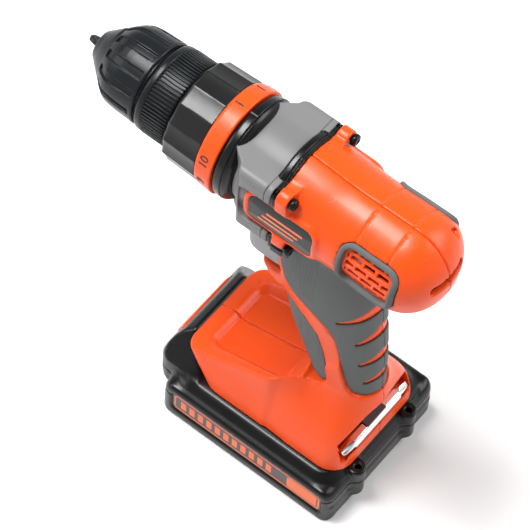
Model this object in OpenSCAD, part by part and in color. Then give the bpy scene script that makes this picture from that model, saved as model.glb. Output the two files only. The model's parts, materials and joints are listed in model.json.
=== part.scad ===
// Cordless drill driver: two-stage planetary gearcase, keyless chuck, slide-on battery.
// Millimetres. The chuck points along -X, +Z is up, the battery's base is at z = 0.

/* [Spindle line] */
// Height of the spindle axis above the battery's base
spindle_z = 191.5; // [190:0.5:194]
// X of the front end of the driver bit in the chuck
bit_tip_x = -101.4; // [-103:0.1:-100]
// X of the chuck's nose
nose_x = -95; // [-96:0.5:-94]
// Largest radius of the chuck's front sleeve
sleeve_r = 21.2; // [20.5:0.1:22]
// Radius of the knurled rear sleeve
knurl_r = 22.7; // [22:0.1:23]
// Radius of the torque collar's rear edge
collar_r = 26.1; // [25.5:0.1:26.5]
// X of the joint between gearcase and housing
joint_x = 22.5; // [22:0.5:23]
// Radius of the housing's barrel
barrel_r = 24.5; // [24:0.1:25]
// X of the rear end of the housing
rear_x = 101.4; // [100:0.1:103]

/* [Gearcase] */
// Radius of the gearcase's round core
core_r = 25.3; // [25:0.1:26]
// Half width of the four-cornered part
case_half_w = 25.5; // [25:0.1:26]
// Half height of the four-cornered part
case_half_h = 21; // [20:0.5:22]
// Radius over the four corners
corner_r = 31.4; // [30.5:0.1:32]

/* [Gears] */
// Module of every gear
gear_module = 0.7; // [0.68:0.01:0.7]
// Teeth on each sun gear
sun_teeth = 12; // [12:1:12]
// Teeth on each planet gear
planet_teeth = 18; // [18:1:18]
// Gap left between meshing flanks
backlash = 0.2; // [0.15:0.01:0.25]

/* [Grip] */
// Thickness of the rubber overmould
rubber_t = 1.2; // [1:0.1:1.5]
// Half width of the trigger
trigger_half_w = 8.5; // [8:0.5:9]
// How far the trigger travels
trigger_travel = 7; // [5:0.5:8]

/* [Foot] */
// Height of the foot's lower edge
foot_z = 28.3; // [28:0.1:29]
// Half width of the foot at its lower edge
foot_half_w = 33; // [32:0.5:34]

/* [Battery] */
// Half width of the battery
pack_half_w = 42.3; // [42:0.1:43]
// X of the battery tray's front end
pack_front_x = -21.5; // [-22:0.5:-21]
// X of the battery tray's rear end
pack_rear_x = 81.5; // [81:0.5:82]
// Diameter of one cell
cell_d = 18.4; // [18:0.1:18.5]
// Length of one cell
cell_l = 65.2; // [65:0.1:66]

/* [Hidden] */
$fn = 72;

orange = [0.95, 0.33, 0.12];
rubber_grey = [0.22, 0.24, 0.24];
black_plastic = [0.08, 0.08, 0.09];
case_grey = [0.36, 0.36, 0.37];
steel = [0.70, 0.70, 0.72];

// ---- stations along the spindle ----
sleeve_rear_x = nose_x + 34;
knurl_front_x = sleeve_rear_x + 1.5;
knurl_rear_x = knurl_front_x + 17.5;
collar_front_x = knurl_rear_x + 1.5;
band_front_x = collar_front_x + 19;
band_rear_x = band_front_x + 9.3;
case_front_x = band_rear_x + 5.1;
corner_front_x = case_front_x + 7.7;
gasket_front_x = joint_x - 6;
screw_y = 22;
screw_dz = 18.7;
lobe_l = 6;
pod_y = 22.6;
pad_y = 25.2;
// Low and high corners of the nameplate, as [x, height from the spindle axis]
plate_low = [8.5, -8.6];
plate_high = [43.6, 9.8];
pad_rim = 2.6;
pad_gap_x = 3.5;

// ---- chuck ----
jaw_count = 3;
jaw_angle = 15;
jaw_r = 3.6;
jaw_l = 34;
jaw_start_x = nose_x + 1;
jaw_start_r = 1.5;
jaw_fit = 0.05;
bit_across_flats = 6.35;
bit_corner_r = bit_across_flats / sqrt(3);
bit_grip_r = bit_across_flats / 2 + 0.03;
chuck_bore_r = 5.4;
flute_count = 13;

// ---- gears ----
ring_teeth = sun_teeth + 2 * planet_teeth;
orbit_r = gear_module * (sun_teeth + planet_teeth) / 2;
ring_outer_r = gear_module * ring_teeth / 2 + 2.8;
case_bore_r = ring_outer_r + 0.05;
output_stage_x = -5;
input_stage_x = 5.2;
gear_w = 6;

// ---- motor ----
motor_front_x = 14.6;
motor_rear_x = 66;
motor_r = 18.2;
shaft_r = 1.6;

// ---- housing ----
// Screws that hold the two halves together, as [x, z, y of the head's seat]
case_screw_points = [[33, 106, 8], [62, 82, 8], [50, 160, 8.8], [52, 48.6, 18]];
// Low and high corners of the vents, as [x, height from the spindle axis]
vent_low = [56, -9];
vent_high = [87, 15.7];
vent_rim = 3.4;
// Slots across the rear rubber, each from its lower front end to its upper rear end
crescents = [
    [[56, 127], [68.5, 139]], [[65, 112], [73, 126]], [[67.5, 94], [76, 107]], [[70.5, 79], [78, 91]],
];
trigger_low_z = 127.5;
trigger_top_z = 157;

// ---- foot and battery ----
channel_half_w = 24.5;
channel_top_z = 39.5;
channel_rear_x = 60.5;
foot_rear_x = 78.5;
slot_x = 73.5;
slot_z = 38;
tray_top_z = 24;
cell_count = 5;
cells_mid_x = (pack_front_x + pack_rear_x) / 2;
cell_z = 12.4;
boss_y = 20;
button_half_w = 18;

// ---- general shapes ----

// Ring or solid of revolution about the spindle axis, from points [x, radius]
module turned(points) {
    translate([0, 0, spindle_z]) rotate([0, 90, 0]) rotate_extrude()
        polygon([for (p = points) [p[1], p[0]]]);
}

// Round bar on the spindle axis
module round_bar(x0, x1, r) {
    translate([x0, 0, spindle_z]) rotate([0, 90, 0]) cylinder(h = x1 - x0, r = r);
}

// Outline in the YZ plane about the spindle axis, extruded along X
module across(x0, x1) {
    translate([x0, 0, spindle_z]) rotate([90, 0, 90]) linear_extrude(x1 - x0) children();
}

// Outline in the XZ plane, extruded along Y
module sideways(y0, y1) {
    translate([0, y1, 0]) rotate([90, 0, 0]) linear_extrude(y1 - y0) children();
}

// Rectangle with rounded corners from its low corner to its high corner
module rounded_rect(low, high, r) {
    translate([low[0] + r, low[1]]) square([high[0] - low[0] - 2 * r, high[1] - low[1]]);
    translate([low[0], low[1] + r]) square([high[0] - low[0], high[1] - low[1] - 2 * r]);
    for (x = [low[0] + r, high[0] - r], y = [low[1] + r, high[1] - r])
        translate([x, y]) circle(r);
}

// Flat plate at height z from x0 to x1, rounded in plan
module plan_plate(x0, x1, half_w, r, z, t = 0.1) {
    translate([0, 0, z]) linear_extrude(t) rounded_rect([x0, -half_w], [x1, half_w], r);
}

// The half of space on one side of the parting plane; side is -1 for left, 1 for right
module half_space(side) {
    gap = 0.05;
    translate([-150, side > 0 ? gap : -100 - gap, -20]) cube([300, 100, 280]);
}

// ---- chuck and spindle ----

module spindle() color(steel) difference() {
    union() {
        round_bar(-50, -12, 5.97);
        round_bar(-12, -9.2, 9);
        round_bar(-9.2, -5.8, 15);
        for (a = [0:120:240]) translate([0, 0, spindle_z]) rotate([a, 0, 0])
            translate([-6.8, 0, orbit_r]) rotate([0, 90, 0]) cylinder(h = gear_w + 1.6, r = 1.97);
    }
    round_bar(-50.1, -36, 2.55);
}

// Path of one jaw: a cylinder that leans out from the nose towards the rear
module jaw_path(index, length, r) {
    translate([jaw_start_x, 0, spindle_z]) rotate([index * 120, 0, 0])
        translate([0, 0, jaw_start_r]) rotate([0, 90 - jaw_angle, 0])
            translate([0, 0, -3]) cylinder(h = length + 3, r = r);
}

module chuck_body() color(steel) difference() {
    turned([
        [nose_x + 0.6, 0], [nose_x + 0.6, 6.2], [nose_x + 10, 12.2], [nose_x + 22, 13],
        [nose_x + 22, 10.9], [nose_x + 31, 10.9], [nose_x + 31, 15.5], [nose_x + 36, 16.4],
        [knurl_rear_x - 1, 16.4], [knurl_rear_x - 1, 0],
    ]);
    round_bar(nose_x, nose_x + 34, chuck_bore_r);
    round_bar(nose_x + 33, nose_x + 45, 3.2);
    round_bar(-50.1, knurl_rear_x, 6);
    for (i = [0:jaw_count - 1]) jaw_path(i, 45, jaw_r + jaw_fit);
}

module chuck_screw() color(steel) {
    round_bar(nose_x + 41.8, nose_x + 44.95, 3.1);
    round_bar(nose_x + 44.9, -37, 2.5);
}

module chuck_rear_sleeve() color(black_plastic) turned([
    [knurl_front_x, 16.8], [knurl_front_x, knurl_r - 1.5], [knurl_front_x + 1.2, knurl_r],
    [knurl_rear_x - 1, knurl_r], [knurl_rear_x, knurl_r - 0.8], [knurl_rear_x, 14],
    [knurl_rear_x - 0.9, 14], [knurl_rear_x - 0.9, 16.45], [knurl_front_x + 3, 16.45],
]);

module chuck_front_sleeve() color(black_plastic) difference() {
    turned([
        [nose_x, 6.5], [nose_x, 7.2], [nose_x + 2.5, 9.6], [nose_x + 4.8, 11.6],
        [nose_x + 9.3, 14.6], [nose_x + 13.5, 18], [nose_x + 17.5, 20], [nose_x + 23, 20.8],
        [sleeve_rear_x, sleeve_r], [sleeve_rear_x, 17.6], [nose_x + 18, 17.6],
        [nose_x + 12, 14.8], [nose_x + 8, 12], [nose_x + 2, 7.4],
    ]);
    for (i = [0:flute_count - 1]) translate([0, 0, spindle_z]) rotate([6.1 + i * 360 / flute_count, 0, 0])
        translate([nose_x + 15, -1.7, 20]) cube([17, 3.4, 3]);
}

module chuck_nut() color(steel) turned([
    [nose_x + 23, 11.4], [nose_x + 23, 17.55], [nose_x + 30, 17.55], [nose_x + 30, 13.3],
]);

module chuck_jaw(index) color(steel) difference() {
    jaw_path(index, jaw_l - 3, jaw_r);
    translate([nose_x - 20, -25, spindle_z - 25]) cube([20 + 0.8, 50, 50]);
    translate([0, 0, spindle_z]) rotate([index * 120, 0, 0])
        translate([nose_x - 20, -25, -50]) cube([100, 50, 50 + bit_grip_r]);
}

module driver_bit() color(steel) intersection() {
    translate([bit_tip_x, 0, spindle_z]) rotate([0, 90, 0]) rotate([0, 0, 30])
        cylinder(h = 25, r = bit_corner_r, $fn = 6);
    turned([
        [bit_tip_x, 0], [bit_tip_x, 1.6], [bit_tip_x + 1.2, 2.8], [bit_tip_x + 2.6, 3.5],
        [bit_tip_x + 4, 4], [bit_tip_x + 25, 4], [bit_tip_x + 25, 0],
    ]);
}

// ---- gear train ----

// Spur gear outline: flanks follow an involute-like curve, thinned by the backlash
module gear_outline(teeth, phase, cut = 0) {
    pitch_r = gear_module * teeth / 2;
    root_r = pitch_r - 1.2 * gear_module - cut;
    tip_r = pitch_r + 0.92 * gear_module - cut;
    slot = 360 / teeth;
    thin = (backlash / 2) / pitch_r * 57.3;
    half = slot / 4 - thin;
    flank = [[root_r, half + slot * 0.115], [pitch_r, half], [tip_r, half - slot * 0.125]];
    polygon([for (i = [0:teeth - 1], k = [0:5])
        let (f = flank[k < 3 ? k : 5 - k], a = phase + i * slot + (k < 3 ? -f[1] : f[1]))
            [f[0] * cos(a), f[0] * sin(a)]]);
}

// Ring gear's inner outline: the space swept by its teeth gaps
module ring_space(phase) {
    pitch_r = gear_module * ring_teeth / 2;
    slot = 360 / ring_teeth;
    thick = (backlash / 2) / pitch_r * 57.3;
    half = slot / 4 + thick;
    flank = [[pitch_r - 0.85 * gear_module, half + slot * 0.11], [pitch_r, half],
             [pitch_r + 1.2 * gear_module, half - slot * 0.1]];
    polygon([for (i = [0:ring_teeth - 1], k = [0:5])
        let (f = flank[k < 3 ? k : 5 - k], a = phase + i * slot + (k < 3 ? -f[1] : f[1]))
            [f[0] * cos(a), f[0] * sin(a)]]);
}

// A planet meshes with its sun and ring at rest when its teeth have this phase
function planet_phase(theta) =
    theta + 180 - 180 / planet_teeth + theta * sun_teeth / planet_teeth;

// Gears are drawn in the YZ plane, so angle 0 points along +Y
module planet(stage_x, index) color(steel) difference() {
    theta = index * 120;
    translate([0, orbit_r * cos(theta + 90), orbit_r * sin(theta + 90)])
        across(stage_x, stage_x + gear_w)
            rotate(planet_phase(theta) + 90) gear_outline(planet_teeth, 0);
    translate([stage_x - 1, orbit_r * cos(theta + 90), spindle_z + orbit_r * sin(theta + 90)])
        rotate([0, 90, 0]) cylinder(h = gear_w + 2, r = 2.02);
}

module carrier() color(steel) {
    across(output_stage_x + 0.1, output_stage_x + gear_w + 1) rotate(90) gear_outline(sun_teeth, 0);
    round_bar(output_stage_x + gear_w + 1, input_stage_x - 0.4, 15);
    for (a = [0:120:240]) translate([0, 0, spindle_z]) rotate([a, 0, 0])
        translate([input_stage_x - 1.4, 0, orbit_r]) rotate([0, 90, 0])
            cylinder(h = gear_w + 1.6, r = 1.97);
}

module ring_gears() color(steel) for (x = [output_stage_x - 0.3, input_stage_x - 0.3])
    across(x, x + gear_w + 0.8) difference() {
        circle(ring_outer_r);
        rotate(90) ring_space(180 / ring_teeth);
    }

module spindle_bearing() color(steel) {
    turned([[-36, 11], [-36, 13.98], [-28, 13.98], [-28, 11]]);
    turned([[-36, 6.03], [-36, 8.4], [-28, 8.4], [-28, 6.03]]);
    for (a = [0:40:320]) translate([-32, 0, spindle_z]) rotate([a, 0, 0])
        translate([0, 0, 9.7]) sphere(r = 1.29);
}

module gearbox_plate() color(steel) difference() {
    round_bar(12.2, 14, ring_outer_r);
    round_bar(12, 14.2, 6);
}

// ---- gearcase and clutch ----

module corner_outline() intersection() {
    square([2 * case_half_w, 2 * case_half_h], center = true);
    circle(corner_r);
}

module gearcase() color(case_grey) difference() {
    union() {
        turned([
            [case_front_x + 0.05, 0], [case_front_x + 0.05, core_r - 3.6], [case_front_x + 3, core_r - 1.5],
            [corner_front_x, core_r], [gasket_front_x, core_r], [gasket_front_x, 0],
        ]);
        intersection() {
            across(corner_front_x, gasket_front_x) corner_outline();
            turned([
                [corner_front_x, 0], [corner_front_x, core_r + 1.5], [corner_front_x + 3, corner_r - 1.6],
                [corner_front_x + 6, corner_r + 0.1], [joint_x, corner_r + 0.1], [joint_x, 0],
            ]);
        }
        round_bar(collar_front_x + 0.5, case_front_x + 1, 16);
        round_bar(band_rear_x - 2.6, band_rear_x, 22);
        round_bar(band_rear_x - 1, case_front_x + 1, 20);
    }
    for (side = [-1, 1]) translate([pad_gap_x, side > 0 ? pod_y : -pod_y - 10, spindle_z + plate_low[1] - 3])
        cube([40, 10, plate_high[1] - plate_low[1] + 6]);
    round_bar(-9.9, joint_x + 1, case_bore_r);
    round_bar(-36.2, -9, 9.3);
    round_bar(-40, -27.9, 14);
    round_bar(-50, -35, 14);
    for (y = [-screw_y, screw_y], dz = [-screw_dz, screw_dz]) translate([joint_x - 14, y, spindle_z + dz])
        rotate([0, 90, 0]) cylinder(h = 20, r = 1.5);
}

module index_ring() color(black_plastic) difference() {
    turned([
        [band_rear_x + 0.3, 20.1], [band_rear_x + 0.3, 24.2], [band_rear_x + 1.4, 25.2],
        [case_front_x - 1.5, 24.6], [case_front_x, 23], [case_front_x, 20.1],
    ]);
    translate([band_rear_x + 2.4, -1, spindle_z + 23.4]) cube([2, 2, 4]);
}

module gearcase_gasket() color(black_plastic) across(gasket_front_x + 0.05, joint_x - 0.05)
    difference() {
        union() {
            circle(core_r + 0.9);
            corner_outline();
        }
        circle(case_bore_r);
        for (side = [-1, 1]) translate([side * (pod_y + 5), (plate_low[1] + plate_high[1]) / 2])
            square([10, plate_high[1] - plate_low[1] + 6], center = true);
        for (y = [-screw_y, screw_y], dz = [-screw_dz, screw_dz]) translate([y, dz]) circle(1.6);
    }

module torque_collar() color(black_plastic) difference() {
    turned([
        [collar_front_x, 18], [collar_front_x, collar_r - 1.6], [collar_front_x + 0.8, collar_r - 1],
        [band_front_x, collar_r - 0.1], [band_front_x, 22.6], [collar_front_x + 3, 22.6],
        [collar_front_x + 3, 18],
    ]);
    for (a = [10:22.5:360]) translate([0, 0, spindle_z]) rotate([a, 0, 0])
        translate([collar_front_x - 1, -0.35, collar_r - 1]) cube([30, 0.7, 3]);
}

module torque_band() color(orange) turned([
    [band_front_x + 0.05, 22.6], [band_front_x + 0.05, collar_r], [band_front_x + 1, collar_r + 0.4],
    [band_rear_x, collar_r + 0.8], [band_rear_x, 22.6],
]);

module clutch_nut() color(steel) turned([
    [-34, 16.06], [-34, 21.6], [-30.5, 21.6], [-30.5, 16.06],
]);

module clutch_washer() color(steel) turned([
    [-17.4, 16.06], [-17.4, 21.4], [-16, 21.4], [-16, 16.06],
]);

module clutch_spring() color(steel) {
    turns = 4;
    for (i = [0:turns - 1]) turned([
        [-30.3 + i * 3.4, 17.4], [-30.3 + i * 3.4, 20.2], [-28.1 + i * 3.4, 20.2],
        [-28.1 + i * 3.4, 17.4],
    ]);
}

// ---- motor ----

module motor_can() color(steel) difference() {
    round_bar(motor_front_x, motor_rear_x, motor_r);
    round_bar(motor_front_x + 1.5, motor_rear_x + 1, motor_r - 1.4);
    round_bar(motor_front_x - 1, motor_front_x + 3, 3);
    for (a = [0:60:300]) translate([0, 0, spindle_z]) rotate([a, 0, 0])
        translate([motor_front_x + 4, -2.5, motor_r - 5]) cube([7, 5, 10]);
}

module motor_magnets() color(case_grey) for (side = [-1, 1]) intersection() {
    turned([
        [motor_front_x + 12, 14.6], [motor_front_x + 12, motor_r - 1.45],
        [motor_rear_x - 6, motor_r - 1.45], [motor_rear_x - 6, 14.6],
    ]);
    translate([0, side > 0 ? 5 : -25, spindle_z - 20]) cube([80, 20, 40]);
}

module motor_end_bell() color(black_plastic) difference() {
    union() {
        round_bar(motor_rear_x + 0.05, motor_rear_x + 5, motor_r);
        round_bar(motor_rear_x + 4, motor_rear_x + 9, 6);
    }
    round_bar(motor_rear_x, motor_rear_x + 10, 1.7);
    round_bar(motor_rear_x, motor_rear_x + 2.5, 12);
}

module rotor() color(case_grey) {
    round_bar(input_stage_x - 0.1, motor_rear_x + 8, shaft_r);
    across(input_stage_x, input_stage_x + gear_w) rotate(90) gear_outline(sun_teeth, 0);
    round_bar(motor_front_x + 15, motor_rear_x - 14, 13.8);
    difference() {
        round_bar(motor_front_x + 3.5, motor_front_x + 11, 14.8);
        for (a = [0:30:330]) translate([0, 0, spindle_z]) rotate([a, 0, 0])
            translate([motor_front_x + 5, -2.6, 7]) cube([8, 5.2, 9]);
    }
}

module commutator() color([0.72, 0.45, 0.2])
    turned([[motor_rear_x - 9, shaft_r], [motor_rear_x - 9, 5], [motor_rear_x + 2, 5],
            [motor_rear_x + 2, shaft_r]]);

// ---- housing ----

// Round-ended barrel: a straight wall, then a superelliptic dome
module barrel(inset) {
    dome_l = rear_x - 80;
    turned(concat(
        [[joint_x, 0], [joint_x, barrel_r + 1.7 - inset], [joint_x + 8, barrel_r + 0.6 - inset],
         [joint_x + 16, barrel_r - 0.1 - inset], [50, barrel_r - 0.4 - inset],
         [65, barrel_r - 0.2 - inset]],
        [for (t = [0:6:90]) let (s = sin(t))
            [80 + (dome_l - inset) * s, (barrel_r - inset) * pow(1 - pow(s, 2.2), 0.5)]]
    ));
}

// One horizontal slice of the grip, grown outwards by the given amount
module grip_slice(z, x0, x1, half_w, grow) {
    translate([(x0 + x1) / 2, 0, z]) scale([(x1 - x0) / 2 + grow, half_w + grow, 1])
        linear_extrude(0.1) circle(1, $fn = 32);
}

module grip_hull(grow) hull() {
    grip_slice(176, 15, 60, 14, grow);
    grip_slice(145, 12.5, 67.3, 16.5, grow);
    grip_slice(120, 17.5, 71.5, 16.2, grow);
    grip_slice(98, 23, 74.3, 14.8, grow);
    grip_slice(50, 44, 76, 13.5, grow);
}

module foot() {
    hull() {
        plan_plate(-5.5, foot_rear_x, foot_half_w, 12, foot_z, $fn = 32);
        plan_plate(-18.5, foot_rear_x - 1, 29, 11, 44, $fn = 32);
    }
    hull() {
        plan_plate(-18.5, foot_rear_x - 1, 29, 11, 44, $fn = 32);
        plan_plate(30, 73, 24, 9, 59, $fn = 32);
        plan_plate(38, 75, 15, 9, 66, $fn = 32);
    }
}

// Nose of the housing below the trigger
module neck(half_w = 9.5) sideways(-half_w, half_w) polygon([
    [7.4, trigger_low_z - 1], [8.8, 123], [12, 120], [18, 116.3], [40, 108], [40, trigger_low_z - 1],
]);

// Raised pad that carries the nameplate, on both sides of the drill
module nameplate_pads() difference() {
    sideways(-pad_y, pad_y)
        rounded_rect([plate_low[0] - pad_rim, spindle_z + plate_low[1] - pad_rim],
                     [plate_high[0] + pad_rim, spindle_z + plate_high[1] + pad_rim], 6);
    translate([0, -pod_y - 0.05, spindle_z - 30]) cube([joint_x, 2 * pod_y + 0.1, 60]);
}

module screw_lobes() across(joint_x, joint_x + lobe_l) difference() {
    corner_outline();
    square([28, 60], center = true);
    for (y = [-screw_y, screw_y], dz = [-screw_dz, screw_dz]) translate([y, dz]) circle(1.7);
}

module housing_cavities() {
    barrel(3);
    round_bar(joint_x - 1, joint_x + 10, barrel_r - 3);
    grip_hull(-3.2);
    translate([-30, -channel_half_w, foot_z - 5])
        cube([30 + channel_rear_x, 2 * channel_half_w, channel_top_z - foot_z + 5]);
    translate([channel_rear_x - 1, -20, foot_z - 5]) cube([8.5, 40, 20.7]);
    sideways(-22, 22) polygon([[0, 42.2], [31, 51.5], [66, 51.5], [66, 42.2]]);
    translate([-20, -trigger_half_w - 0.4, trigger_low_z - 1])
        cube([48, 2 * trigger_half_w + 0.8, trigger_top_z - trigger_low_z + 1.6]);
    sideways(-23.5, 23.5) polygon([[-13, 44.2], [27, 56], [35, 75], [-13, 75]]);
    translate([slot_x - 4.6, -27, slot_z - 4.4]) cube([20, 54, 8.8]);
    translate([16.6, -30, 160]) cube([12, 60, 5.2]);
    translate([-10, -22.5, spindle_z - core_r - 1.3]) cube([joint_x + 10, 45, 22]);
}

// Windows for the vents, cut square to the sides
module vent_windows(grow) sideways(-40, 40)
    rounded_rect([vent_low[0] - grow, spindle_z + vent_low[1] - grow],
                 [vent_high[0] + grow, spindle_z + vent_high[1] + grow], 7);

module housing(side) color(orange) difference() {
    intersection() {
        difference() {
            union() {
                barrel(0);
                nameplate_pads();
                screw_lobes();
                grip_hull(0);
                neck();
                foot();
            }
            difference() {
                housing_cavities();
                for (p = case_screw_points) screw_bar(p, -13, p[2] + 0.5, 3.8);
            }
        }
        half_space(side);
    }
    vent_windows(0.05);
    for (y = [-40, 23.35]) sideways(y, y + 16.65)
        plate_outline(0.1);
    translate([rear_x - 6, -11.5, spindle_z]) cube([10, 23, 7]);
    for (p = case_screw_points) {
        screw_bar(p, -9, 30, 1.55);
        screw_bar(p, p[2], 34, 3);
    }
}

// A bar along Y at a case screw's place
module screw_bar(p, y0, y1, r)
    translate([p[0], y0, p[1]]) rotate([-90, 0, 0]) cylinder(h = y1 - y0, r = r);

module case_screws() color(steel) for (p = case_screw_points) {
    screw_bar(p, -8, p[2] + 0.05, 1.5);
    screw_bar(p, p[2] + 0.02, p[2] + 2.2, 2.9);
}

module housing_left() housing(-1);
module housing_right() housing(1);

module gearcase_screws() color(black_plastic) for (y = [-screw_y, screw_y], dz = [-screw_dz, screw_dz])
    translate([0, y, spindle_z + dz]) rotate([0, 90, 0]) {
        translate([0, 0, joint_x - 12]) cylinder(h = 19, r = 1.45);
        translate([0, 0, joint_x + lobe_l + 0.05]) cylinder(h = 2.2, r = 3);
    }

module plate_outline(grow) rounded_rect(
    [plate_low[0] - grow, spindle_z + plate_low[1] - grow],
    [plate_high[0] + grow, spindle_z + plate_high[1] + grow], 4 + grow);

module nameplate(side) color(black_plastic) sideways(side > 0 ? 23.4 : -24.6, side > 0 ? 24.6 : -23.4)
    plate_outline(0);

// Rubber frame round a vent, following the barrel
module vent_ring(side) color(rubber_grey) intersection() {
    difference() {
        barrel(-1.6);
        barrel(2.6);
    }
    difference() {
        vent_windows(0);
        vent_windows(-vent_rim);
    }
    half_space(side);
}

// Staggered louvres inside a vent
module vent_grille(side) color(orange) intersection() {
    difference() {
        barrel(0.8);
        barrel(2.8);
    }
    vent_windows(-vent_rim - 0.05);
    half_space(side);
    difference() {
        translate([50, -40, spindle_z - 20]) cube([45, 80, 50]);
        for (row = [0:3], k = [0:3])
            translate([57.6 + k * 7 + (row % 2) * 3.5, -41, spindle_z - 4 + row * 4.3])
                cube([5, 82, 2.4]);
    }
}

// Outline of the rear rubber in the XZ plane
module rear_rubber_outline() polygon([
    [19, 164.5], [19, 150], [21.5, 137], [27, 127.5], [36, 125], [46, 121], [53, 114.5],
    [57, 106], [60, 88], [62.5, 76], [66, 71], [71, 69.5], [90, 72], [90, 170], [28, 170],
]);

module front_grip_outline() polygon([
    [10, 119.5], [26, 119.5], [37, 113], [45, 104.5], [48, 92], [50.5, 74], [48, 68], [30, 68],
]);

module rubber_skin(side) intersection() {
    difference() {
        grip_hull(rubber_t);
        grip_hull(0.02);
        barrel(-2.2);
        translate([0, -30, spindle_z - 12]) cube([50, 60, 30]);
    }
    sideways(-30, 30) children();
    half_space(side);
}

module grip_rubber(side) color(rubber_grey) rubber_skin(side) difference() {
    rear_rubber_outline();
    translate([12, 157]) square([18, 12]);
    for (c = crescents) hull() {
        translate(c[0]) circle(0.5, $fn = 12);
        translate(c[1]) circle(1.9, $fn = 12);
    }
}

module front_grip(side) color(rubber_grey) difference() {
    rubber_skin(side) front_grip_outline();
    neck(9.55);
}

module grip_rubber_left() grip_rubber(-1);
module grip_rubber_right() grip_rubber(1);
module front_grip_left() front_grip(-1);
module front_grip_right() front_grip(1);
module nameplate_left() nameplate(-1);
module nameplate_right() nameplate(1);
module vent_ring_left() vent_ring(-1);
module vent_ring_right() vent_ring(1);
module vent_grille_left() vent_grille(-1);
module vent_grille_right() vent_grille(1);

// ---- switch, trigger and terminals ----

module switch_body() color(black_plastic) {
    translate([28.2, -8.5, 122]) cube([25.8, 17, 30]);
    translate([27.4, -2, 138]) cube([1, 4, 4]);
}

module trigger() color(case_grey) intersection() {
    sideways(-trigger_half_w, trigger_half_w) difference() {
        polygon([
            [-4.2, 150], [-2.5, trigger_top_z], [20, trigger_top_z], [20, trigger_low_z],
            [0, trigger_low_z], [-3.4, 129], [-4.6, 132],
        ]);
        translate([-19.4, 142]) circle(16.8);
    }
    translate([10, 0, 100]) scale([1, 0.72, 1]) cylinder(h = 80, r = 14.5);
}

module direction_slider() color(black_plastic) {
    translate([17, -19.5, 160.4]) cube([11, 39, 4.4]);
    for (side = [-1, 1]) translate([19.5, side > 0 ? 19.4 : -20.9, 161]) cube([6, 1.5, 3.2]);
}

module terminal_block() color(black_plastic) translate([channel_rear_x, -17, 30]) cube([6, 34, 9]);

module terminal_blades() color([0.75, 0.55, 0.25]) for (y = [-13.5, -4.5, 4.5, 13.5])
    translate([channel_rear_x - 12, y - 0.4, 32.5]) cube([11.95, 0.8, 4.5]);

// ---- bit storage ----

module stored_bit() color(steel) translate([slot_x, -25, slot_z]) rotate([-90, 0, 0]) {
    cylinder(h = 50, r = 2.6, $fn = 24);
    translate([0, 0, 17]) cylinder(h = 16, r = bit_corner_r, $fn = 6);
}

module bit_clip() color(black_plastic) difference() {
    translate([slot_x - 4.5, -7, slot_z - 4.3]) cube([6.5, 14, 8.6]);
    translate([slot_x, -8, slot_z]) rotate([-90, 0, 0]) cylinder(h = 16, r = bit_corner_r + 0.04);
    translate([slot_x, -8, slot_z - 3.2]) cube([10, 16, 6.4]);
}

// ---- battery ----

module tray_shape() intersection() {
    sideways(-pack_half_w, pack_half_w) rounded_rect([pack_front_x, 0], [pack_rear_x, tray_top_z], 9);
    translate([0, 0, -1]) linear_extrude(60)
        rounded_rect([pack_front_x, -pack_half_w], [pack_rear_x, pack_half_w], 7);
}

module battery_lower_case() color(black_plastic) difference() {
    union() {
        intersection() {
            union() {
                tray_shape();
                latch_hump();
            }
            translate([-60, -60, 0]) cube([200, 120, 17.9]);
        }
        for (y = [-boss_y, boss_y]) translate([pack_rear_x - 1, y, 5]) cylinder(h = 12.9, r = 4.6);
    }
    translate([pack_front_x + 3, -pack_half_w + 3.2, 2.2])
        cube([pack_rear_x - pack_front_x - 6, 2 * pack_half_w - 6.4, 40]);
    for (side = [-1, 1]) translate([pack_front_x + 7, side > 0 ? pack_half_w - 1 : -pack_half_w - 1, 5.8])
        cube([91, 2, 20]);
    for (y = [-boss_y, boss_y]) translate([pack_rear_x + 0.8, y, 6]) cylinder(h = 13, r = 1.5);
}

module battery_upper_case() color(black_plastic) difference() {
    union() {
        intersection() {
            union() {
                tray_shape();
                latch_hump();
            }
            translate([-60, -60, 18]) cube([200, 120, 30]);
        }
        hull() {
            plan_plate(pack_front_x + 1, pack_rear_x - 3, 39, 7, 23.8, $fn = 32);
            plan_plate(pack_front_x + 5, pack_rear_x - 6, 34, 7, 27.8, $fn = 32);
        }
        translate([-15, -24, 25]) cube([channel_rear_x + 14.6, 48, channel_top_z - 25.5]);
        for (y = [-boss_y, boss_y]) translate([pack_rear_x - 1, y, 18]) cylinder(h = 8, r = 4.6);
    }
    translate([pack_front_x + 3, -pack_half_w + 3.2, 17])
        cube([pack_rear_x - pack_front_x - 6, 2 * pack_half_w - 6.4, 5.4]);
    translate([-9, -21, 20]) cube([50, 42, 16]);
    for (y = [-13.5, -4.5, 4.5, 13.5]) translate([channel_rear_x - 14, y - 1, 31]) cube([20, 2, 12]);
    for (side = [-1, 1]) translate([pack_front_x + 7, side > 0 ? pack_half_w - 1 : -pack_half_w - 1, 5.8])
        cube([91, 2, 14]);
    sideways(-button_half_w - 0.4, button_half_w + 0.4)
        polygon([[-36, 27.6], [-24.2, 27.6], [-20.9, 37.4], [-36, 37.4]]);
    for (y = [-boss_y, boss_y]) translate([pack_rear_x + 0.8, y, 6]) cylinder(h = 22, r = 1.5);
}

module latch_hump() intersection() {
    sideways(-31.5, 31.5) polygon([
        [pack_front_x, 8], [-30.5, 14], [-31.4, 20], [-31.2, 27], [-29.7, 32], [-27.5, 37],
        [-23.5, 41.3], [-19.6, 43.9], [-6.9, 28.2], [-6.9, 8],
    ]);
    hull() {
        plan_plate(-32, 10, 31.5, 9, 5, $fn = 48);
        plan_plate(-32, 10, 31.5, 9, 28, $fn = 48);
        plan_plate(-24, 10, 29, 8, 44, $fn = 48);
    }
}

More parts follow.
